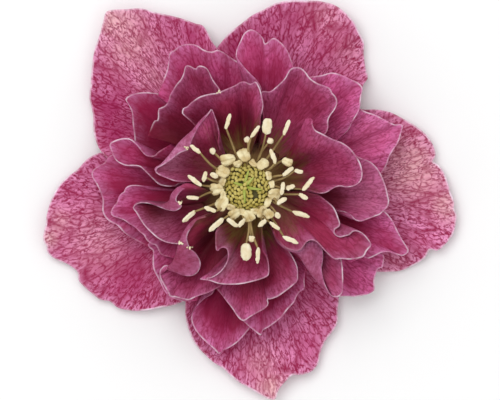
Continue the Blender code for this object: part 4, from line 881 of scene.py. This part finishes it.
STAMENS = [
    (106, 12.2, -32, 2.9, 0.75), (82, 10.0, -28, 2.6, 0.75), (90, 8.5, 0, 1.1, 1.0), (72, 11.4, 8, 2.9, 1.7),
    (64, 9.2, 0, 1.1, 1.1), (57, 12.7, 12, 2.9, 0.75), (51, 7.2, 58, 2.8, 0.75), (33, 8.4, -58, 1.9, 1.4),
    (22, 7.75, 15, 2.6, 0.75), (18, 9.5, -34, 1.6, 0.8), (4, 10.8, 46, 3.2, 0.8), (-1, 6.2, 83, 2.4, 0.75),
    (1, 7.6, 21, 1.7, 0.8), (-8.5, 10.0, -20, 1.9, 0.8), (-20, 6.5, 50, 2.1, 0.85), (-26, 10.5, 9, 3.2, 0.85),
    (-50, 5.9, 0, 1.8, 1.5), (-42, 7.2, 0, 1.2, 1.0), (-66, 6.7, 108, 2.2, 0.8), (-54, 8.2, 16, 2.3, 0.75),
    (-50, 11.9, 26, 3.1, 0.8), (-91, 11.2, 1, 3.1, 1.95), (-81, 12.0, -12, 2.8, 0.75), (-85, 8.95, 0, 1.2, 1.1),
    (-130, 8.4, -8, 3.4, 1.0), (-113, 6.6, 78, 2.5, 0.85), (-99, 6.2, -30, 1.8, 0.85), (-150, 7.5, -52, 2.2, 0.85),
    (-154, 11.35, 15, 3.0, 0.9), (-170, 9.7, -15, 2.2, 0.8), (172, 9.3, -29, 3.1, 0.8), (165, 7.7, -92, 2.0, 0.75),
    (159, 6.2, 0, 1.5, 0.85), (133, 8.9, 0, 1.1, 1.05), (143, 11.4, 1, 2.4, 0.75),
    (95, 5.8, 20, 2.4, 2.3), (124, 6.0, 70, 2.7, 2.2), (146, 5.1, 10, 2.5, 2.2), (182, 5.3, 5, 2.4, 2.2),
    (211, 5.1, 25, 2.7, 2.3), (244, 5.0, -30, 2.3, 1.8), (273, 4.9, 20, 2.1, 2.2), (303, 5.0, -40, 2.2, 1.8),
    (347, 4.9, 10, 2.3, 2.2), (57, 5.0, -20, 2.3, 1.8), (30, 4.4, 70, 1.7, 1.1), (8, 4.4, 95, 1.5, 1.0),
    (76, 4.5, 60, 1.6, 1.1), (110, 4.6, 110, 1.6, 1.3), (165, 4.5, 80, 1.7, 1.3), (197, 4.4, 75, 1.6, 1.2),
    (229, 4.5, 100, 1.6, 1.2), (259, 4.3, 80, 1.7, 1.2), (288, 4.3, 60, 1.7, 1.2), (325, 4.4, 100, 1.8, 1.2),
]
FIRST_IN_RING = 35  # the entries from here on lie round the cushion
STILL_BROAD = (7, 16)  # two of the spread ones, which are as broad as those in the ring
SPREAD_HEIGHT = 17.6
RING_HEIGHT = 16.9
COLLAR_RADIUS = 3.5  # where the threads come out
COLLAR_HEIGHT = 14.8
THREAD_THICKNESS = ((0, 0.3, 0.85, 1), (0.297, 0.22, 0.187, 0.132))  # along the thread, and how thick there
THREAD_POINTS = 18


def anther_mesh(name, rings=15, sides=18, groove=0.4, blunt=3.4, taper=0.0, narrow=0.35):
    """An anther of length, width and height 1: two lobes side by side with a groove between them."""
    turns = 2 * math.pi * (np.arange(sides) + 0.5) / sides
    dip = 1 - groove * np.exp(-(np.cos(turns) / narrow) ** 2)
    rows = []
    for x in -np.cos(math.pi * np.arange(rings) / (rings - 1)):
        size = (1 - abs(x) ** blunt) ** 0.55
        ring = np.column_stack([np.full(sides, x), np.cos(turns) * size * (1 + taper * x), np.sin(turns) * size * dip])
        rows.append(ring / 2 if size >= 0.02 else [(x / 2, 0, 0)])
    return ringed_mesh(name, rows)


def node_group(name, inputs):
    """A Geometry Nodes tree with one geometry in, one out, and the named inputs."""
    group = bpy.data.node_groups.new(name, "GeometryNodeTree")
    for way in ("INPUT", "OUTPUT"):
        group.interface.new_socket("Geometry", in_out=way, socket_type="NodeSocketGeometry")
    for label, kind in inputs.items():
        group.interface.new_socket(label, in_out="INPUT", socket_type="NodeSocket" + kind)
    return group, {socket.name: Wire(socket) for socket in add(group, "NodeGroupInput").outputs}


def end_group(group, geometry, finish):
    """Makes what a tree has built real and smooth, gives it its finish and hands it out."""
    real = wire(group, "GeometryNodeRealizeInstances", {"Geometry": geometry})
    smooth = wire(group, "GeometryNodeSetShadeSmooth", {"Geometry": real})
    coated = wire(group, "GeometryNodeSetMaterial", {"Geometry": smooth, "Material": finish})
    add(group, "NodeGroupOutput", {"Geometry": coated})


def run_nodes(name, start, group, values):
    """Gives the tree its values, runs it on the starting mesh and keeps the result as a plain mesh."""
    carrier = new_object(name, start)
    modifier = carrier.modifiers.new("nodes", "NODES")
    modifier.node_group = group
    sockets = {s.name: s.identifier for s in group.interface.items_tree if s.in_out == "INPUT"}
    for label, value in values.items():
        modifier[sockets[label]] = value
    view = bpy.context.evaluated_depsgraph_get()
    result = bpy.data.meshes.new_from_object(carrier.evaluated_get(view))
    carrier.modifiers.clear()
    carrier.data = result
    result.name = name
    return carrier


def named(group, kind, label):
    """A named attribute of the points, read in a tree."""
    return wire(group, "GeometryNodeInputNamedAttribute", {"Name": label}, data_type=kind)


def points_mesh(name, places, edges=(), **columns):
    """Loose points or lines, in metres, that carry what the tree reads: a number or a vector for each."""
    mesh = bpy.data.meshes.new(name)
    mesh.from_pydata((np.array(places, float) * MM).tolist(), list(edges), [])
    for label, column in columns.items():
        column = np.array(column, np.float32)
        store = mesh.attributes.new(label, "FLOAT" if column.ndim == 1 else "FLOAT_VECTOR", "POINT")
        store.data.foreach_set("value" if column.ndim == 1 else "vector", column.ravel())
    return mesh


def thread_lines(name, paths, count, thickness):
    """One smooth line of count points through each path, and how thick its thread is along it."""
    lines = [through(path, count=count)[0] for path in paths]
    edges = [(count * n + k, count * n + k + 1) for n in range(len(paths)) for k in range(count - 1)]
    along = np.interp(np.linspace(0, 1, count), *thickness)
    return points_mesh(name, np.concatenate(lines), edges, thickness=np.tile(along, len(paths)) * MM)


top = pile.spread_top(1)


def clear_of_petals(point, air):
    """The lowest height clear of the petals under a point."""
    height = top[pile.cells(np.array(point))]
    return height + air if height > 0 else 0.0


# Where each stamen goes. The sines of its number set its height, sway and tilt a little apart from the next one's.
paths = []
anther_spots = {"opened": [], "ring": []}
for n, (direction, reach, turn, length, width) in enumerate(STAMENS):
    spread = n < FIRST_IN_RING
    outward = np.array((math.cos(math.radians(direction)), math.sin(math.radians(direction))))
    bearing = math.radians(direction + turn)
    lie = np.array((math.cos(bearing), math.sin(bearing)))
    middle = AXIS + outward * reach
    height = (SPREAD_HEIGHT if spread else RING_HEIGHT) + (0.5 if spread else 0.2) * math.sin(n * 2.4)
    for share in (-0.5, 0, 0.5):
        height = max(height, clear_of_petals(middle + lie * length * share, 0.6))
    pitch = 0.16 * math.sin(n * 1.3) if spread else 0.25
    deep = max(width * 0.7, 0.6) if spread else width * 0.42
    kind = "opened" if spread and n not in STILL_BROAD else "ring"
    anther_spots[kind].append(((*middle, height), (0.5 * math.sin(n * 3.1), pitch, bearing), (length, width, deep)))
    foot = middle - lie * length * 0.42 if abs(turn) < 60 and length > 1.5 else middle
    start = AXIS + outward * COLLAR_RADIUS
    path = []
    for share in (0, 0.12, 0.35, 0.6, 0.82, 1):
        sway = (0.25 + 0.03 * reach) * math.sin(n * 1.9) * math.sin(math.pi * share)
        spot = start + (foot - start) * share + np.array((-outward[1], outward[0])) * sway
        rise = COLLAR_HEIGHT + (height - 0.1 - COLLAR_HEIGHT) * share ** 0.7
        path.append((*spot, max(rise, clear_of_petals(spot, 0.45) if share > 0.1 else 0)))
    paths.append(path)

# Threads: each line becomes a round thread as thick as it says.
threads, given = node_group("threads", {"Sides": "Int", "Finish": "Material"})
lines = wire(threads, "GeometryNodeMeshToCurve", {"Mesh": given["Geometry"]})
circle = wire(threads, "GeometryNodeCurvePrimitiveCircle", {"Resolution": given["Sides"], "Radius": 1.0})
end_group(threads, wire(threads, "GeometryNodeCurveToMesh", {
    "Curve": lines, "Profile Curve": circle, "Scale": named(threads, "FLOAT", "thickness"), "Fill Caps": True}),
          given["Finish"])

thread_green = fleshy_finish("filament_olive", (0.20, 0.125, 0.042), (0.36, 0.25, 0.10), 350.0, 0.5, 0.00005)
filaments = run_nodes("filaments", thread_lines("thread_lines", paths, THREAD_POINTS, THREAD_THICKNESS), threads,
                      {"Sides": 8, "Finish": thread_green})

# Anthers: one two-lobed body on every point, turned and sized as the point says, with an uneven powdery skin.
scatter, given = node_group("anthers", {"Body": "Object", "Unevenness": "Float", "Grain": "Float",
                                        "Finish": "Material"})
body = wire(scatter, "GeometryNodeObjectInfo", {"Object": given["Body"]}, "Geometry")
placed = wire(scatter, "GeometryNodeInstanceOnPoints", {
    "Points": given["Geometry"], "Instance": body, "Rotation": named(scatter, "FLOAT_VECTOR", "turn"),
    "Scale": named(scatter, "FLOAT_VECTOR", "size")})
real = wire(scatter, "GeometryNodeRealizeInstances", {"Geometry": placed})
rough_skin = wire(scatter, "TexNoise", {"Scale": given["Grain"], "Detail": 2.0})
push = vectors("SCALE", wire(scatter, "GeometryNodeInputNormal"), Scale=(rough_skin - 0.5) * given["Unevenness"])
end_group(scatter, wire(scatter, "GeometryNodeSetPosition", {"Geometry": real, "Offset": push}), given["Finish"])

bodies = {"opened": new_object("opened_anther", anther_mesh("opened_anther")),
          "ring": new_object("ring_anther", anther_mesh("ring_anther", rings=17, sides=32, groove=0.75, blunt=5.0,
                                                        taper=0.2, narrow=0.2))}
pollen_cream = fleshy_finish("pollen_cream", (0.78, 0.66, 0.42), (0.88, 0.80, 0.60), 900.0, 0.85, 0.00015)
ring_cream = fleshy_finish("ring_anther_tan", (0.58, 0.43, 0.19), (0.84, 0.75, 0.47), 600.0, 0.7, 0.00012)
anthers = []
for kind, finish in (("opened", pollen_cream), ("ring", ring_cream)):
    places, turns, sizes = zip(*anther_spots[kind])
    points = points_mesh(kind + "_points", places, turn=turns, size=np.array(sizes) * MM)
    anthers.append(run_nodes(kind + "_anthers", points, scatter, {
        "Body": bodies[kind], "Unevenness": 0.0005, "Grain": 1900.0, "Finish": finish}))

# The feet of the threads, packed round the receptacle as a ribbed olive skirt that runs out between the petals.
SKIRT_RINGS = [(0.0, 9.0), (7.9, 9.1), (8.1, 9.3), (7.6, 9.75), (6.8, 10.4), (6.0, 11.2), (5.2, 12.1), (4.5, 13.1),
               (4.0, 14.2), (3.6, 15.1), (3.1, 15.5), (0.0, 15.6)]
skirt = turned("packed_threads", SKIRT_RINGS, 240, flute=0.03, ribs=48)
skirt.data.materials.append(fleshy_finish("throat_olive", (0.16, 0.095, 0.028), (0.23, 0.145, 0.045), 260.0, 0.6,
                                          0.00006, outward=((0.105, 0.022, 0.014), 5.0, 8.0)))

# Pollen that has dropped: a few grains clinging to the rims of the inner petals.
POLLEN_SPOTS = [(-12.4, -0.5), (-12.3, -7.6), (-10.6, -8.4), (-5.5, 19.0), (-11.2, 9.2)]
GRAINS = 4  # at each spot
grains, turns, sizes = [], [], []
for n, (x, y) in enumerate(POLLEN_SPOTS):
    for k in range(GRAINS):
        out = 0.08 + 0.15 * k
        spot = np.array((x + out * math.cos(2.4 * k + n), y + out * math.sin(2.4 * k + n) * 0.6))
        grains.append((*spot, pile.top[pile.cells(spot)] + 0.02))
        turns.append((k, 0.5 * n, 1.7 * k))
        sizes.append((0.58 - 0.09 * k, 0.42 - 0.05 * k, 0.3))
points = points_mesh("pollen_points", grains, turn=turns, size=np.array(sizes) * MM)
dropped = run_nodes("dropped_pollen", points, scatter, {
    "Body": bodies["opened"], "Unevenness": 0.0001, "Grain": 5000.0, "Finish": pollen_cream})
for piece in (filaments, *anthers, skirt, dropped):
    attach(piece, "root")
    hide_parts("stamens")

# ---- The cushion of unopened anthers
# The youngest stamens, still packed shoulder to shoulder on a low dome in the spiral in which they grew, yellow-green
# and smooth. Dark gaps show where the styles push through; the dome under the beads is near-black, painted shade
# between them.

CUSHION_BOTTOM = 15.3
CUSHION_RADIUS = 4.15
CUSHION_RISE = 1.2
CUSHION_RINGS = [(0, 0), (3.3, 0), (3.75, 0.25), (3.4, 0.5), (2.4, 0.85), (1.2, 0.9), (0, 0.6)]  # over its bottom
BEAD_COUNT = 118
BEAD_SPACING = 0.385
BEAD_LENGTH = 0.84
BEAD_SHAPE = (1, 0.74, 0.8)  # its length, width and depth against that
SPIRAL_FOOT = 0.35  # how far over the cushion's bottom the spiral stands
SPIRAL_TURN = 137.508  # degrees from one bead to the next
BEAD_SCATTER = 0.1  # how far a bead may stand from its place
BEAD_TURN = 1.3  # radians from the way out to the way a bead points
GAPS = ((-1.5, 2.8, 16.6), (0.8, 1.2, 16.6))  # where no beads stand
GAP_RADIUS = 0.55

# The dome under the beads: near-black olive, painted shade for the deep gaps between the beads.
cushion_base = turned("cushion_base", [(radius, CUSHION_BOTTOM + height) for radius, height in CUSHION_RINGS], 40)
cushion_base.data.materials.append(fleshy_finish("cushion_shade", (0.07, 0.06, 0.02), (0.12, 0.10, 0.03), 800.0, 0.7,
                                                 0.00005))

spiral, given = node_group("spiral_of_beads", {
    "Bead": "Object", "Count": "Int", "Spacing": "Float", "Centre": "Vector", "Rise": "Float", "Reach": "Float",
    "Length": "Float", "First gap": "Vector", "Second gap": "Vector", "Gap": "Float", "Seed": "Int",
    "Finish": "Material"})
number = wire(spiral, "GeometryNodeInputIndex") + 1.5
radius = given["Spacing"] * maths("SQRT", number)
angle = number * math.radians(SPIRAL_TURN)
lift = given["Rise"] * maths("COSINE", radius / given["Reach"] * 1.45)
jitter = wire(spiral, "FunctionNodeRandomValue", {"Min": (-1, -1, -1), "Max": (1, 1, 1), "Seed": given["Seed"]},
              data_type="FLOAT_VECTOR")
spot = vectors("ADD", combined(radius * maths("COSINE", angle), radius * maths("SINE", angle), lift), given["Centre"])
spot = vectors("ADD", spot, vectors("SCALE", jitter, Scale=BEAD_SCATTER * MM))
seeds = wire(spiral, "GeometryNodePoints", {"Count": given["Count"], "Position": spot})
place = wire(spiral, "GeometryNodeInputPosition")
near = [maths("LESS_THAN", vectors("DISTANCE", place, given[label], output="Value"), given["Gap"])
        for label in ("First gap", "Second gap")]
kept = wire(spiral, "GeometryNodeDeleteGeometry", {"Geometry": seeds, "Selection": maths("MAXIMUM", *near)},
            domain="POINT")
x, y, _ = split(vectors("SUBTRACT", place, given["Centre"]))
roll, pitch, yaw = split(jitter)
turn = combined(roll * 0.4, pitch * 0.35, maths("ARCTAN2", y, x) + BEAD_TURN + yaw * 0.95)
sizes = wire(spiral, "FunctionNodeRandomValue", {"Min": (0.88, 0.88, 0.9), "Max": (1.12, 1.1, 1.1),
                                                 "Seed": given["Seed"]}, data_type="FLOAT_VECTOR")
bead_shape = wire(spiral, "GeometryNodeObjectInfo", {"Object": given["Bead"]}, "Geometry")
end_group(spiral, wire(spiral, "GeometryNodeInstanceOnPoints", {
    "Points": kept, "Instance": bead_shape, "Rotation": turn,
    "Scale": vectors("SCALE", sizes, Scale=given["Length"])}), given["Finish"])

bead_mesh = anther_mesh("bead", rings=8, sides=10, groove=0.18, blunt=3.0)
bead_mesh.transform(Matrix.Diagonal((*BEAD_SHAPE, 1)))
bead = new_object("bead", bead_mesh)
bead_green = fleshy_finish("bead_yellow_green", (0.43, 0.34, 0.062), (0.64, 0.54, 0.17), 600.0, 0.5, 0.00004)
cushion = run_nodes("cushion_of_anthers", points_mesh("cushion_seed", [(0, 0, 0)]), spiral, {
    "Bead": bead, "Count": BEAD_COUNT, "Spacing": BEAD_SPACING * MM,
    "Centre": (AXIS[0] * MM, AXIS[1] * MM, (CUSHION_BOTTOM + SPIRAL_FOOT) * MM), "Rise": CUSHION_RISE * MM,
    "Reach": CUSHION_RADIUS * MM, "Length": BEAD_LENGTH * MM, "Gap": GAP_RADIUS * MM,
    "First gap": [part * MM for part in GAPS[0]], "Second gap": [part * MM for part in GAPS[1]],
    "Seed": 4, "Finish": bead_green})
for piece in (cushion_base, cushion):
    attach(piece, "root")
    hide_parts("unopened_anthers")
for pattern in (*bodies.values(), bead):
    bpy.data.objects.remove(pattern)

# ---- The styles
# The tips of the few seed pods to come, which grow from the top of the receptacle inside the cushion. They are
# lime-green and tapered, come up through its gaps, and bend outward over it like a small star.

STYLE_FOOT = np.array((-1.1, 2.4, 15.6))
STYLE_TIPS = [(-0.35, 5.2, 17.3), (0.5, 4.0, 17.5), (2.0, 1.8, 17.4), (-1.0, -0.5, 17.2), (-3.0, 3.1, 17.2)]
STYLE_THICKNESS = ((0, 0.4, 0.85, 1), (0.34, 0.3, 0.2, 0.1))
STYLE_POINTS = 14

paths = []
for n, tip in enumerate(STYLE_TIPS):
    lean = np.array(tip) - STYLE_FOOT
    foot = STYLE_FOOT + 0.25 * lean * (1, 1, 0) / np.linalg.norm(lean[:2])
    bend = foot + (tip - foot) * (0.35, 0.35, 0.85) + (0.12 * math.sin(n * 2), 0.12 * math.cos(n * 2), 0.1)
    paths.append([foot, bend, (tip + bend) / 2 + (0, 0, 0.12), tip])
style_lime = fleshy_finish("style_lime", (0.30, 0.36, 0.05), (0.44, 0.48, 0.11), 700.0, 0.45, 0.00004)
styles = run_nodes("styles_star", thread_lines("style_lines", paths, STYLE_POINTS, STYLE_THICKNESS), threads,
                   {"Sides": 10, "Finish": style_lime})
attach(styles, "root")
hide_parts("styles")
